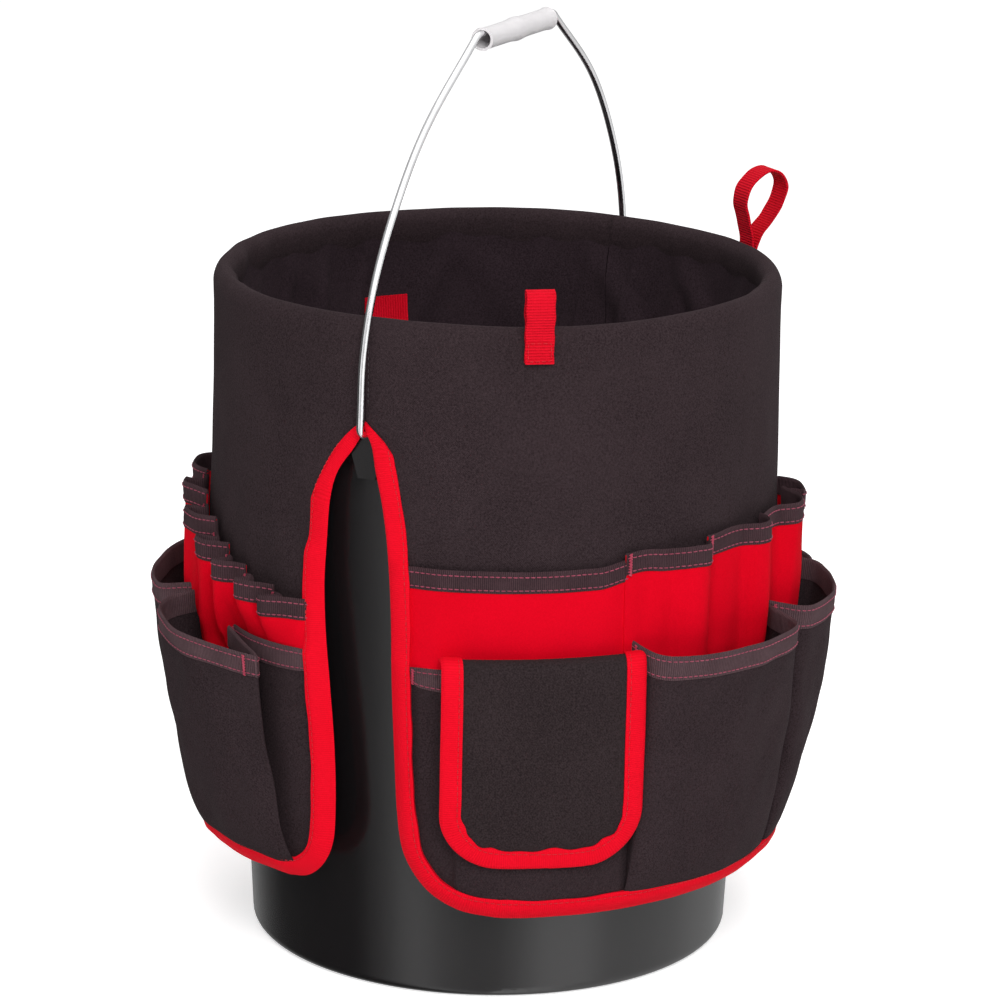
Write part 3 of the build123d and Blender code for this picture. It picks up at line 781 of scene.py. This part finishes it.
def tool_band(name, panel):
    """Red band sewn down between its bays, with its stepped tape, thread and bartacks."""
    cloth, tape, seam, bars = Pile(), Pile(), Pile(), Pile()
    for number, (top, points) in enumerate(BAYS):
        u, r = bay_shape(points)
        wavy = 2.6 * smooth((u - 46) / 6) if number == 0 else 0.5 * ripples(u, 0, 40 + number, 14, 50)
        crest = top + wavy
        rows = np.linspace(0, 1, 26)[:, None] ** 0.75
        z = BAND_LOW + (crest - 0.4 - BAND_LOW) * rows
        grid = band_place(panel, u[None], r[None], z, crest)
        cloth.sheet(grid, BAND_CLOTH)
        n = plan_normal(band_place(panel, u, r, crest, crest))
        section = tape_section(BAND_TAPE, BAND_CLOTH, 0.65)
        stations = [
            band_place(panel, u, r, crest - w, crest) + n * (h - BAND_CLOTH / 2) for w, h in section
        ]
        tape.strip(np.stack(stations, 1)[:, ::-1])
        for w in (2.1, BAND_TAPE - 1.7):
            row = band_place(panel, u, r, crest - w, crest) + n * 0.72
            seam.stitches(row, n)
        if 0 < number:
            k = 2
            one = slice(k, k + 1)
            head, foot = (
                band_place(panel, u[one], r[one], crest[one] + dz, crest[one])[0]
                for dz in (0.8, -BAND_TAPE - 0.6)
            )
            side = unit(np.cross([0, 0, 1], n[k]))
            bars.bartack(foot + n[k] * 0.9, head + n[k] * 0.9, n[k], side)
    cloth.done(f"{name}_tool_band_cloth", RED, "bucket", "red_cloth", [f"{name}_tool_band"], 60)
    tape.done(f"{name}_band_trim_tape", BAND_GREY, "bucket", "mouth_tape", [f"{name}_band_trim"])
    seam.done(f"{name}_band_trim_thread", PINK_THREAD, "bucket", "mouth_tape")
    bars.done(f"{name}_band_bartacks", BARTACK_THREAD, "bucket", "mouth_tape")


# Lower tier pockets
BACK = SKIRT_OUT + 2.5
FOOT = SKIRT_OUT + 1.6


def inner_edge(u):
    """Height of the binding's inner edge below an angle, where the pockets are sewn in."""
    x = np.asarray(u, float) * ARC
    inner = BINDING_INNER[BINDING_INNER[:, 1] < 150]
    order = np.argsort(inner[:, 0])
    return np.interp(x, inner[order, 0], inner[order, 1], left=150, right=150)


# Each pocket: angle and stand-off along its mouth and its foot, heights along its mouth
POCKETS = {
    "flap_pocket": {
        "mouth": [(9.4, 0.2), (16, 0.6), (19.2, 1), (19.8, 4.5), (20.8, 7.0),
                  (27, 8.8), (36, 9.2), (46, 8.6), (51.4, 6.6), (52.6, 3.6), (53.6, 0.4)],
        "foot": [(9.9, 0.2), (14.6, 0.4), (18.8, 0.5), (19.4, 1.3), (20.0, 2.0),
                 (27, 2.3), (36, 2.4), (46, 2.3), (51.0, 2.1), (52.0, 1.3), (53.4, 0.3)],
        "top": [(12.0, 190), (20, 190.5), (36, 189), (53.6, 191)], "swell": 0.9, "corner": False},
    "first_bellows_pocket": {
        "mouth": [(53.5, 0.4), (54.0, 9), (54.9, 17), (57.0, 22.6), (62, 26), (68, 27.6),
                  (74, 28.4), (80, 28.2), (85, 27.4), (88.2, 25.2), (89.6, 20.5),
                  (91.0, 13), (92.8, 5.5), (94.9, 0.2)],
        "foot": [(53.2, 0.2), (52.7, 0.9), (52.2, 1.5), (53.4, 2.3), (59, 2.6), (66, 2.7),
                 (73, 2.8), (80, 2.8), (86, 2.7), (91.6, 2.6), (92.8, 1.9),
                 (92.6, 1.2), (93.2, 0.7), (94.7, 0.2)],
        "top": [(53.5, 202.5), (57, 199.5), (62, 197.5), (74, 196.4), (85, 196.6), (90, 198.5), (94.3, 200)],
        "swell": 1.0, "corner": False},
    "second_bellows_pocket": {
        "mouth": [(94.8, 0.6), (95.2, 9), (96.0, 18), (98.0, 23.4), (103, 27), (108, 28.8),
                  (113, 29.4), (118, 28.9), (123, 27.2), (125.9, 24.4), (127.0, 19),
                  (127.8, 12), (128.8, 5.5), (129.9, 0.2)],
        "foot": [(94.6, 0.2), (94.3, 0.9), (94.2, 1.5), (95.4, 2.3), (100, 2.6), (106, 2.7),
                 (112, 2.8), (117, 2.8), (122, 2.7), (127.4, 2.5), (128.4, 1.8),
                 (128.3, 1.2), (128.8, 0.7), (129.6, 0.2)],
        "top": [(94.8, 200.5), (98, 198.4), (104, 197.2), (112, 196.4), (123, 196.8),
                (127, 198.6), (129.4, 200)],
        "swell": 1.0, "corner": False},
    "third_bellows_pocket": {
        "mouth": [(129.8, 0.6), (129.9, 11), (130.4, 22), (132.6, 29.4), (137, 32.8), (142, 32.6),
                  (147, 30.4), (152, 26.4), (157.4, 21.4), (160.8, 17.8), (161.4, 16.6),
                  (160.4, 15.2), (155, 10.5), (150, 7.2), (147.2, 5.8)],
        "foot": [(129.3, 0.2), (129.2, 0.9), (129.0, 1.5), (130.4, 2.5), (137, 2.9), (143, 3.2),
                 (149, 3.4), (155, 3.5), (161, 3.5), (165.2, 3.3), (165.9, 2.8),
                 (165.2, 2.2), (160, 1.7), (154, 1.4), (149, 1.2)],
        "top": [(129.8, 198.0), (133, 192.0), (140, 189.6), (148, 188.0), (157, 186.0),
                (161.4, 184.6), (150, 189), (147, 190)],
        "swell": 1.0, "corner": True},
    "end_pocket": {
        "mouth": [(146.4, 2.2), (150, 3.4), (156, 4.0), (162, 3.4), (169.9, 0.6)],
        "foot": [(146.6, 0.2), (151, 0.5), (157, 0.7), (163, 0.7), (171.4, 0.4)],
        "top": [(146.4, 189.5), (169.9, 189.5)], "swell": 0.4, "corner": False},
}


def pocket_grid(panel, shape, rows, seed):
    """Pocket cloth: its mouth stands out, and it runs down to the seam in the binding."""
    mouth_points, foot_points = flat_points(shape["mouth"], BACK), flat_points(shape["foot"], FOOT)
    t = even_steps(mouth_points, 1.5)
    mouth, foot = spline(mouth_points, t), spline(foot_points, t)
    top_t = np.linspace(0, len(mouth_points) - 1, len(shape["top"]))
    if len(shape["top"]) == 8:
        top_t = np.array([0, 3, 4.5, 6, 8, 10, 13, 14.0])
    top = np.interp(t, top_t, [z for _, z in shape["top"]])
    foot_u = np.degrees(np.arctan2(foot[:, 1], foot[:, 0]))
    base = inner_edge(foot_u)
    h = np.asarray(rows)[:, None]
    out = h ** 0.62
    swell = shape["swell"] * np.sin(math.pi * np.clip(h, 0, 1)) ** 1.2
    plan = foot[None] + (mouth - foot)[None] * out[..., None]
    r = np.hypot(plan[..., 0], plan[..., 1])
    u = np.degrees(np.arctan2(plan[..., 1], plan[..., 0]))
    face = np.clip((np.hypot(mouth[:, 0], mouth[:, 1]) - BACK) / 20, 0, 1)[None]
    z = base[None] + (top - base)[None] * h
    soft = smooth(h * 4) * (1 - 0.55 * smooth((h - 0.8) * 5))
    wrinkle = 0.55 * ripples(u + 14 * h, z, seed, 22, 190) + 0.35 * ripples(u, z * 1.0, seed + 1, 9, 60)
    slack = 1.3 * np.exp(-((h - 0.13) / 0.12) ** 2) * (0.4 + 0.6 * np.sin(np.radians(u * 9 + seed * 40)))
    r = r + face * (swell * 1.6 + soft * wrinkle + slack)
    return hang(panel, u, r, z), top - base


def pocket(name, panel, kind):
    """One pocket: its cloth, the tape round its mouth, and the tape's thread."""
    shape = POCKETS[kind]
    seed = 60 + 7 * list(POCKETS).index(kind) + panel
    grid, drop = pocket_grid(panel, shape, np.linspace(0, 0.997, 40), seed)
    cloth = Pile()
    normal = cloth.sheet(grid, 0.9)
    cloth.done(f"{name}_{kind}_cloth", BLACK, "bucket", "black_cloth", [f"{name}_{kind}"], 62)
    section = tape_section(MOUTH_TAPE, 0.9, 0.6)
    mean_drop = float(np.mean(drop))
    n = normal[-1]
    stations = []
    for w, h in section:
        line = pocket_grid(panel, shape, [1 - w / mean_drop], seed)[0][0]
        stations.append(line + n * (h - 0.45))
    tape, seam, bars = Pile(), Pile(), Pile()
    tape.strip(np.stack(stations, 1)[:, ::-1])
    tape.done(f"{name}_{kind}_trim_tape", TAPE_GREY, "bucket", "mouth_tape", [f"{name}_{kind}_trim"])
    for w in (2.2, MOUTH_TAPE - 1.8):
        row = pocket_grid(panel, shape, [1 - w / mean_drop], seed)[0][0]
        seam.stitches(row + n * 0.62, n)
    seam.done(f"{name}_{kind}_trim_thread", PINK_THREAD, "bucket", "mouth_tape")
    ends = [0.035, 0.965]
    if shape["corner"]:
        ends = [0.035, 0.705]
    for share in ends:
        if kind == "flap_pocket" and share > 0.5:
            continue
        k = int(share * (len(n) - 1))
        head = pocket_grid(panel, shape, [1.0], seed)[0][0][k] + n[k] * 0.9
        foot = pocket_grid(panel, shape, [1 - MOUTH_TAPE / mean_drop], seed)[0][0][k] + n[k] * 0.9
        side = unit(np.cross(head - foot, n[k]))
        bars.bartack(foot, head, n[k], side, 1.8)
    bars.done(f"{name}_{kind}_bartacks", BARTACK_THREAD, "bucket", "mouth_tape")


# Flap: a fold leaves the band, turns over the hinge line and hangs over its pocket
FLAP_HALF = 53.0
FLAP_FOOT = low("front_flap_binding", 2)
FLAP_CORNER = 30.0
FLAP_TAPE = 10.5
FLAP_SECTION = spline([
    (HINGE_R - 8.6, HINGE_Z + 0.6), (HINGE_R - 4.5, HINGE_Z + 1.9), (HINGE_R - 0.6, HINGE_Z + 1.9),
    (HINGE_R + 2.2, HINGE_Z - 0.6), (HINGE_R + 3.2, HINGE_Z - 6), (HINGE_R + 3.3, HINGE_Z - 20),
    (HINGE_R + 2.6, HINGE_Z - 50), (HINGE_R + 0.6, HINGE_Z - 82), (HINGE_R - 2.6, FLAP_FOOT + 0.5),
], np.linspace(0, 8, 240))
FLAP_RUN = lengths(FLAP_SECTION)


def flap_surface(panel, x, q, h=0.0):
    """A place on the flap: across x, distance q from the start of its fold, height h."""
    x, q, h = np.broadcast_arrays(np.asarray(x, float), np.asarray(q, float), np.asarray(h, float))

    def at(x, q):
        depth = np.interp(q, FLAP_RUN, FLAP_SECTION[:, 0])
        z = np.interp(q, FLAP_RUN, FLAP_SECTION[:, 1])
        depth = depth - x * x / 400
        depth = depth + smooth((q - 20) / 40) * 0.45 * ripples(x, q, 91, 70, 90, 3)
        a = math.radians(FLAP_U)
        out = panel * np.array([math.cos(a), math.sin(a), 0])
        side = panel * np.array([-math.sin(a), math.cos(a), 0])
        return depth[..., None] * out + x[..., None] * side + z[..., None] * np.array([0, 0, 1.0])

    p = at(x, q)
    e = 0.4
    q0, q1 = np.clip(q - e, 0, FLAP_RUN[-1]), np.clip(q + e, 0, FLAP_RUN[-1])
    n = unit(np.cross(at(x + e, q) - at(x - e, q), at(x, q0) - at(x, q1)))
    return p + n * h[..., None], n


def flap_outline():
    """The flap's edge: down its first side, round its corners and up its second side."""
    end = FLAP_RUN[-1] - 0.6
    corner = end - FLAP_CORNER
    turn = np.radians(np.linspace(0, 90, 24))
    down = np.stack([np.full(60, -FLAP_HALF), np.linspace(0, corner, 60)], 1)[:-1]
    first = np.stack([-FLAP_HALF + FLAP_CORNER * (1 - np.cos(turn)), corner + FLAP_CORNER * np.sin(turn)], 1)
    half = np.concatenate([down, first, [(-FLAP_HALF + FLAP_CORNER + 8, end), (-8, end)]])
    return resample(np.concatenate([half, half[::-1] * [-1, 1]]), 1.8)


def flap(name, panel):
    """Flap cloth, its binding and thread, shaped over the hinge line, and its hook patch."""
    body = f"{name}_flap"
    end = FLAP_RUN[-1] - 0.6
    rows = end * np.linspace(0, 1, 80)
    rows = np.concatenate([rows[:60], end - (end - rows[60]) * (np.linspace(1, 0.02, 26) ** 1.6)])[::-1]
    reach = np.sqrt(np.clip(1 - (np.clip(rows - (end - FLAP_CORNER), 0, None) / FLAP_CORNER) ** 2, 0, 1))
    half = FLAP_HALF - 1.0 - FLAP_CORNER * (1 - reach)
    x = np.linspace(-1, 1, 70)[None] * half[:, None]
    grid, _ = flap_surface(panel, x, rows[:, None])
    cloth = Pile()
    cloth.sheet(grid, 1.2, np.stack([x, np.repeat(-rows[:, None], 70, 1)], -1))
    # The flap cloth takes the darker copy of the black cloth: painted shade.
    sheet = cloth.done(f"{name}_flap_cloth_painted_shade", FLAP_SHADED_CLOTH, None, "black_cloth", [f"{name}_flap"])

    path = flap_outline()
    tangent = unit(np.gradient(path, axis=0))
    across = np.stack([tangent[:, 1], -tangent[:, 0]], 1)
    along = lengths(path)
    bottom = smooth((path[:, 1] - (end - 40)) / 30)
    wobble = 0.75 * np.sin(along / 5.1) + 0.5 * np.sin(along / 2.7 + 2) + 0.4 * np.sin(along / 13.0)
    wobble = bottom * wobble
    sway = bottom * 0.9 * np.sin(along / 17.0 + 0.6)

    def place(w, h, loose=0.0):
        p = path + across * (w + loose)[:, None] + across * sway[:, None] * 0.5
        return flap_surface(panel, p[:, 0], p[:, 1], h - 0.6)

    section = tape_section(FLAP_TAPE, 1.5, 0.8)
    stations = []
    for w, h in section:
        loose = wobble if w > FLAP_TAPE - 1 else wobble * 0
        stations.append(place(np.full(len(path), w), h, loose)[0])
    tape = Pile()
    tape.strip(np.stack(stations, 1)[:, ::-1])
    node = f"{name}_flap_binding"
    binding = tape.done(f"{node}_tape", BINDING_RED, None, "red_binding", [node])
    seam = Pile()
    row, n = place(np.full(len(path), FLAP_TAPE - 2.0), 1.62)
    seam.stitches(row[4:-4], n[4:-4], radius=0.24)
    stitches = seam.done(f"{node}_thread", RED_THREAD, None, "red_binding")
    for piece in (sheet, binding, stitches):
        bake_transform(piece)
    patch_pair(name, panel, body)


def patch_pair(name, panel, body):
    """Hook patch inside the flap and loop patch on the pocket below it."""
    drop = (high("front_flap_hook_patch", 2) + low("front_flap_hook_patch", 2)) / 2
    q_mid = float(np.interp(-drop, -FLAP_SECTION[120:, 1], FLAP_RUN[120:]))
    half_x, half_z, corner = 25.0, 10.0, 3.0
    t = np.linspace(-1, 1, 44)
    rows = np.linspace(-1, 1, 16)[:, None] * half_z
    rounded = np.clip(np.abs(rows) - half_z + corner, 0, None) / corner
    cut = corner * (1 - np.sqrt(np.clip(1 - rounded**2, 0, 1)))
    x = t[None] * (half_x - cut)
    inner = Pile()
    grid, _ = flap_surface(panel, x, q_mid - rows, -1.25)
    inner.sheet(grid, 0.9)
    inner.done(f"{name}_flap_hook_patch_pile", HOOKS, body, "hook_tape", [f"{name}_flap_hook_patch"])
    outer = Pile()
    shape = POCKETS["flap_pocket"]
    seed = 60 + panel
    fine, _ = pocket_grid(panel, shape, np.linspace(0.3, 0.7, 30), seed)
    u_fine = np.degrees(np.arctan2(panel * fine[..., 1], panel * fine[..., 0]))
    r_fine = np.hypot(fine[..., 0], fine[..., 1])
    u = FLAP_U + np.degrees(x / 166.0)
    z = drop - 1 + rows + 0 * x
    r = np.empty_like(u)
    for i in range(len(rows)):
        k = int(np.argmin(np.abs(fine[:, len(fine[0]) // 2, 2] - z[i, 0])))
        r[i] = np.interp(u[i], u_fine[k], r_fine[k])
    a = np.radians(u)
    points = around(panel * (r + 1.0), a, z)
    outer.sheet(points, 0.95)
    outer.done(f"{name}_pocket_loop_patch_pile", LOOPS, "bucket", "loop_tape", [f"{name}_pocket_loop_patch"])


# Webbing


def webbing(name, path, turn, width, nodes):
    """Webbing along a path of (distance, height) in the upright plane at a front panel angle."""
    curve = spline(path, even_steps(path, 1.2))
    tangent = unit(np.gradient(curve, axis=0))
    normal = np.stack([tangent[:, 1], -tangent[:, 0]], 1)
    out, side = compass(turn)
    half = width / 2
    face = [(-half + 0.4, 0.68), (-half + 1.3, 0.6), (0, 0.62), (half - 1.3, 0.6), (half - 0.4, 0.68)]
    section = [(-half, 0), *face, (half, 0), *[(w, -h) for w, h in face[::-1]]]
    along = lengths(curve)
    stations = []
    for w, h in section:
        edge = 0.22 * np.sign(w) * np.sin(along / 1.9 + w) * (abs(w) > half - 1)
        p = curve + normal * h
        slide = w + edge
        stations.append(p[:, :1] * out + slide[:, None] * side + p[:, 1:] * np.array([0, 0, 1.0]))
    pile = Pile()
    pile.strip(np.stack(stations, 1))
    return pile.done(name, WEBBING_RED, "bucket", "red_webbing", nodes)


def loop_stitches(name, turn, radius, foot, width):
    """Box of stitches that holds a loop's tail to the skirt."""
    out, side = compass(turn)
    half = width / 2 - 1.6
    low_z, high_z = foot + 1.6, foot + 11
    corners = [(-half, low_z), (half, low_z), (half, high_z), (-half, high_z), (-half, low_z)]
    path = resample(np.array(corners), 1.0)
    places = radius * out + path[:, :1] * side + path[:, 1:] * np.array([0, 0, 1.0])
    pile = Pile()
    pile.stitches(places, np.repeat(out[None], len(places), 0), radius=0.25)
    return pile.done(name, RED_THREAD, "bucket", "red_webbing")


def rim_loops():
    """The flat loop at the front left and the open eye at the right."""
    foot = low("left_rim_loop", 2) + 0.6
    left_top = high("left_rim_loop", 2)
    right_top = high("right_rim_loop", 2) - 1.2
    webbing("left_rim_loop_webbing", [
        (155.0, foot), (155.4, foot + 8), (155.6, foot + 14.5), (156.9, foot + 20), (158.6, left_top - 11),
        (157.6, left_top - 3.5), (154.6, left_top - 0.4), (151.8, left_top - 3.5), (151.3, left_top - 11),
        (152.3, foot + 22), (153.9, foot + 15.5), (153.9, foot + 8), (153.9, foot + 0.6),
    ], 34.0, 15.0, ["left_rim_loop"])
    loop_stitches("left_rim_loop_thread", 34.0, 156.15, foot, 15.0)
    webbing("right_rim_loop_webbing", [
        (155.2, foot), (155.5, foot + 9), (156.6, foot + 15.5), (160.6, foot + 23), (168.0, foot + 31.5),
        (173.6, right_top - 15), (174.6, right_top - 8.5), (171.4, right_top - 2.6), (165.4, right_top),
        (157.4, right_top - 3), (151.0, right_top - 10), (149.2, right_top - 17.5), (150.8, right_top - 25),
        (153.4, foot + 22), (154.2, foot + 15.5), (154.0, foot + 8), (154.0, foot + 0.6),
    ], 143.0, 15.0, ["right_rim_loop"])
    loop_stitches("right_rim_loop_thread", 143.0, 156.4, foot, 15.0)


def inner_tab():
    """Red tab sewn to the lining."""
    top, foot = high("inner_tab", 2), low("inner_tab", 2)
    turn, half = 53.0, 13.0
    u = turn + np.degrees(np.linspace(half, -half, 26) / 138.0)
    z = np.linspace(foot, top, 30)
    uu, zz = np.meshgrid(u, z)
    a = np.radians(uu)
    base = lining_point(uu, zz)
    r = np.hypot(base[..., 0], base[..., 1]) - 0.8
    pile = Pile()
    pile.sheet(around(r - 0.9, a, zz), 1.2)
    return pile.done("inner_tab_webbing", WEBBING_RED, "bucket", "red_webbing", ["inner_tab"])


# The kept CAD nodes and the stage


def dress(node, material):
    """Give a kept CAD node its material."""
    obj = frame["nodes"][node]
    obj.data.materials.clear()
    obj.data.materials.append(material)


VIEW_AZIMUTH = -64.0
VIEW_ELEVATION = 15.57
VIEW_DISTANCE = 2.413
VIEW_ROLL = 0.87
SENSOR, LENS, SHIFT = 36.0, 159.3, 0.0055
TARGET = Vector((0, 0, 0.2383))

# What shiny things see round the studio: angle from the camera's side, brightness
STUDIO = [
    (-180, 0.35), (-150, 0.35), (-120, 0.10), (-85, 0.08), (-66, 0.08), (-52, 0.5), (-42, 1.1), (-34, 1.35),
    (-22, 0.85), (-8, 0.65), (5, 0.68), (16, 1.15), (28, 1.8), (48, 1.8), (60, 1.15), (116, 0.95),
    (140, 0.6), (180, 0.35),
]
STUDIO_PEAK = 1.8
WORLD_LIGHT = 0.52
BACKDROP = 1.1
PAPER_GLOW = 0.56
FLOOR_SIZE = 30.0


def studio_bands(tree, azimuth):
    """Brightness of the studio as shiny things see it, by the azimuth they look along."""
    turned = maths(tree, "SUBTRACT", azimuth, math.radians(VIEW_AZIMUTH))
    wrapped = maths(tree, "WRAP", turned, math.pi, -math.pi)
    ramp = tree.nodes.new("ShaderNodeValToRGB")
    stops = ramp.color_ramp.elements
    for i, (angle, level) in enumerate(STUDIO):
        place = (angle + 180) / 360
        stop = stops[i] if i < 2 else stops.new(place)
        stop.position = place
        stop.color = (*[level / STUDIO_PEAK] * 3, 1)
    tree.links.new(mad(tree, wrapped, 0.5 / math.pi, 0.5), ramp.inputs[0])
    return maths(tree, "MULTIPLY", ramp.outputs[0], STUDIO_PEAK)


def azimuth_of(tree, vector, sign=1.0):
    """Direction round the object, 0 along -Y and rising towards +X, in radians; and its height."""
    split = tree.nodes.new("ShaderNodeSeparateXYZ")
    tree.links.new(vector, split.inputs[0])
    x = maths(tree, "MULTIPLY", split.outputs[0], sign)
    y = maths(tree, "MULTIPLY", split.outputs[1], -sign)
    return maths(tree, "ARCTAN2", x, y), split.outputs[2]


def studio():
    """Pale floor and world. Shiny things see soft boxes in both."""
    world = bpy.data.worlds.new("studio")
    bpy.context.scene.world = world
    world.use_nodes = True
    tree = world.node_tree
    tree.nodes.clear()
    output = tree.nodes.new("ShaderNodeOutputWorld")
    rays = tree.nodes.new("ShaderNodeLightPath")
    place = tree.nodes.new("ShaderNodeTexCoord").outputs["Generated"]
    azimuth, height = azimuth_of(tree, place)
    plain = tree.nodes.new("ShaderNodeBackground")
    plain.inputs[1].default_value = WORLD_LIGHT
    seen = tree.nodes.new("ShaderNodeBackground")
    seen.inputs[1].default_value = BACKDROP
    boxes = tree.nodes.new("ShaderNodeBackground")
    above = maths(tree, "MULTIPLY", maths(tree, "MAXIMUM", height, 0.0), 1.3)
    tree.links.new(maths(tree, "ADD", studio_bands(tree, azimuth), above), boxes.inputs[1])
    first = tree.nodes.new("ShaderNodeMixShader")
    tree.links.new(rays.outputs["Is Glossy Ray"], first.inputs[0])
    tree.links.new(plain.outputs[0], first.inputs[1])
    tree.links.new(boxes.outputs[0], first.inputs[2])
    second = tree.nodes.new("ShaderNodeMixShader")
    tree.links.new(rays.outputs["Is Camera Ray"], second.inputs[0])
    tree.links.new(first.outputs[0], second.inputs[1])
    tree.links.new(seen.outputs[0], second.inputs[2])
    tree.links.new(second.outputs[0], output.inputs[0])

    mat = bpy.data.materials.new("floor_paper")
    mat.use_nodes = True
    tree = mat.node_tree
    shader = next(n for n in tree.nodes if n.type == "BSDF_PRINCIPLED")
    output = next(n for n in tree.nodes if n.type == "OUTPUT_MATERIAL")
    settle(shader, Base_Color=(0.93, 0.93, 0.93, 1), Roughness=0.9, Specular_IOR_Level=0.0)
    azimuth, _ = azimuth_of(tree, tree.nodes.new("ShaderNodeNewGeometry").outputs["Incoming"], -1.0)
    glow = tree.nodes.new("ShaderNodeEmission")
    tree.links.new(studio_bands(tree, azimuth), glow.inputs["Strength"])
    paper = tree.nodes.new("ShaderNodeEmission")
    paper.inputs["Color"].default_value = (1, 1, 1, 1)
    rays = tree.nodes.new("ShaderNodeLightPath")
    shine = maths(tree, "MULTIPLY", rays.outputs["Is Camera Ray"], PAPER_GLOW)
    tree.links.new(shine, paper.inputs["Strength"])
    white = tree.nodes.new("ShaderNodeAddShader")
    tree.links.new(shader.outputs[0], white.inputs[0])
    tree.links.new(paper.outputs[0], white.inputs[1])
    mix = tree.nodes.new("ShaderNodeMixShader")
    tree.links.new(rays.outputs["Is Glossy Ray"], mix.inputs[0])
    tree.links.new(white.outputs[0], mix.inputs[1])
    tree.links.new(glow.outputs[0], mix.inputs[2])
    tree.links.new(mix.outputs[0], output.inputs[0])
    corners = [(x * FLOOR_SIZE, y * FLOOR_SIZE, 0) for x, y in ((-1, -1), (1, -1), (1, 1), (-1, 1))]
    mesh = bpy.data.meshes.new("floor")
    mesh.from_pydata(corners, [], [(0, 1, 2, 3)])
    mesh.materials.append(mat)
    floor = bpy.data.objects.new("floor", mesh)
    bpy.context.scene.collection.objects.link(floor)


def direction(azimuth, elevation):
    """Unit vector from the object: azimuth 0 is -Y, and it rises towards +X."""
    a, e = math.radians(azimuth), math.radians(elevation)
    return Vector((math.sin(a) * math.cos(e), -math.cos(a) * math.cos(e), math.sin(e)))


def area_light(name, azimuth, elevation, distance, size, power, shiny=1.0):
    """Soft box aimed at the object."""
    data = bpy.data.lights.new(name, "AREA")
    data.shape = "RECTANGLE"
    data.size, data.size_y = size
    data.energy = power
    data.specular_factor = shiny
    light = bpy.data.objects.new(name, data)
    away = direction(azimuth, elevation)
    light.location = TARGET + away * distance
    light.rotation_mode = "QUATERNION"
    light.rotation_quaternion = (-away).to_track_quat("-Z", "Y")
    bpy.context.scene.collection.objects.link(light)


def camera():
    """Camera at the matched viewing angle, with its slight roll."""
    data = bpy.data.cameras.new("camera")
    data.sensor_width, data.lens, data.shift_x = SENSOR, LENS, SHIFT
    obj = bpy.data.objects.new("camera", data)
    away = direction(VIEW_AZIMUTH, VIEW_ELEVATION)
    obj.location = TARGET + away * VIEW_DISTANCE
    obj.rotation_mode = "QUATERNION"
    roll = Quaternion((0, 0, 1), math.radians(VIEW_ROLL))
    obj.rotation_quaternion = (-away).to_track_quat("-Z", "Y") @ roll
    bpy.context.scene.collection.objects.link(obj)
    bpy.context.scene.camera = obj


dress("bucket_shell", pail_plastic())
dress("bail_wire", steel())
dress("bail_grip", grip_plastic())
collar()
ear_seams()
for panel_name, hand in PANELS.items():
    skirt(panel_name, hand)
    edge_binding(panel_name, hand)
    lining(panel_name, hand)
    tool_band(panel_name, hand)
    for pocket_kind in POCKETS:
        pocket(panel_name, hand, pocket_kind)
    flap(panel_name, hand)
rim_loops()
inner_tab()

studio()
area_light("key", VIEW_AZIMUTH + 8, 36, 2.6, (1.4, 1.4), 46)
area_light("fill", VIEW_AZIMUTH - 60, 20, 3.0, (1.5, 2.0), 4)
area_light("top", VIEW_AZIMUTH + 170, 70, 2.6, (2.0, 2.0), 20)
camera()
bpy.context.scene.view_settings.view_transform = "Standard"
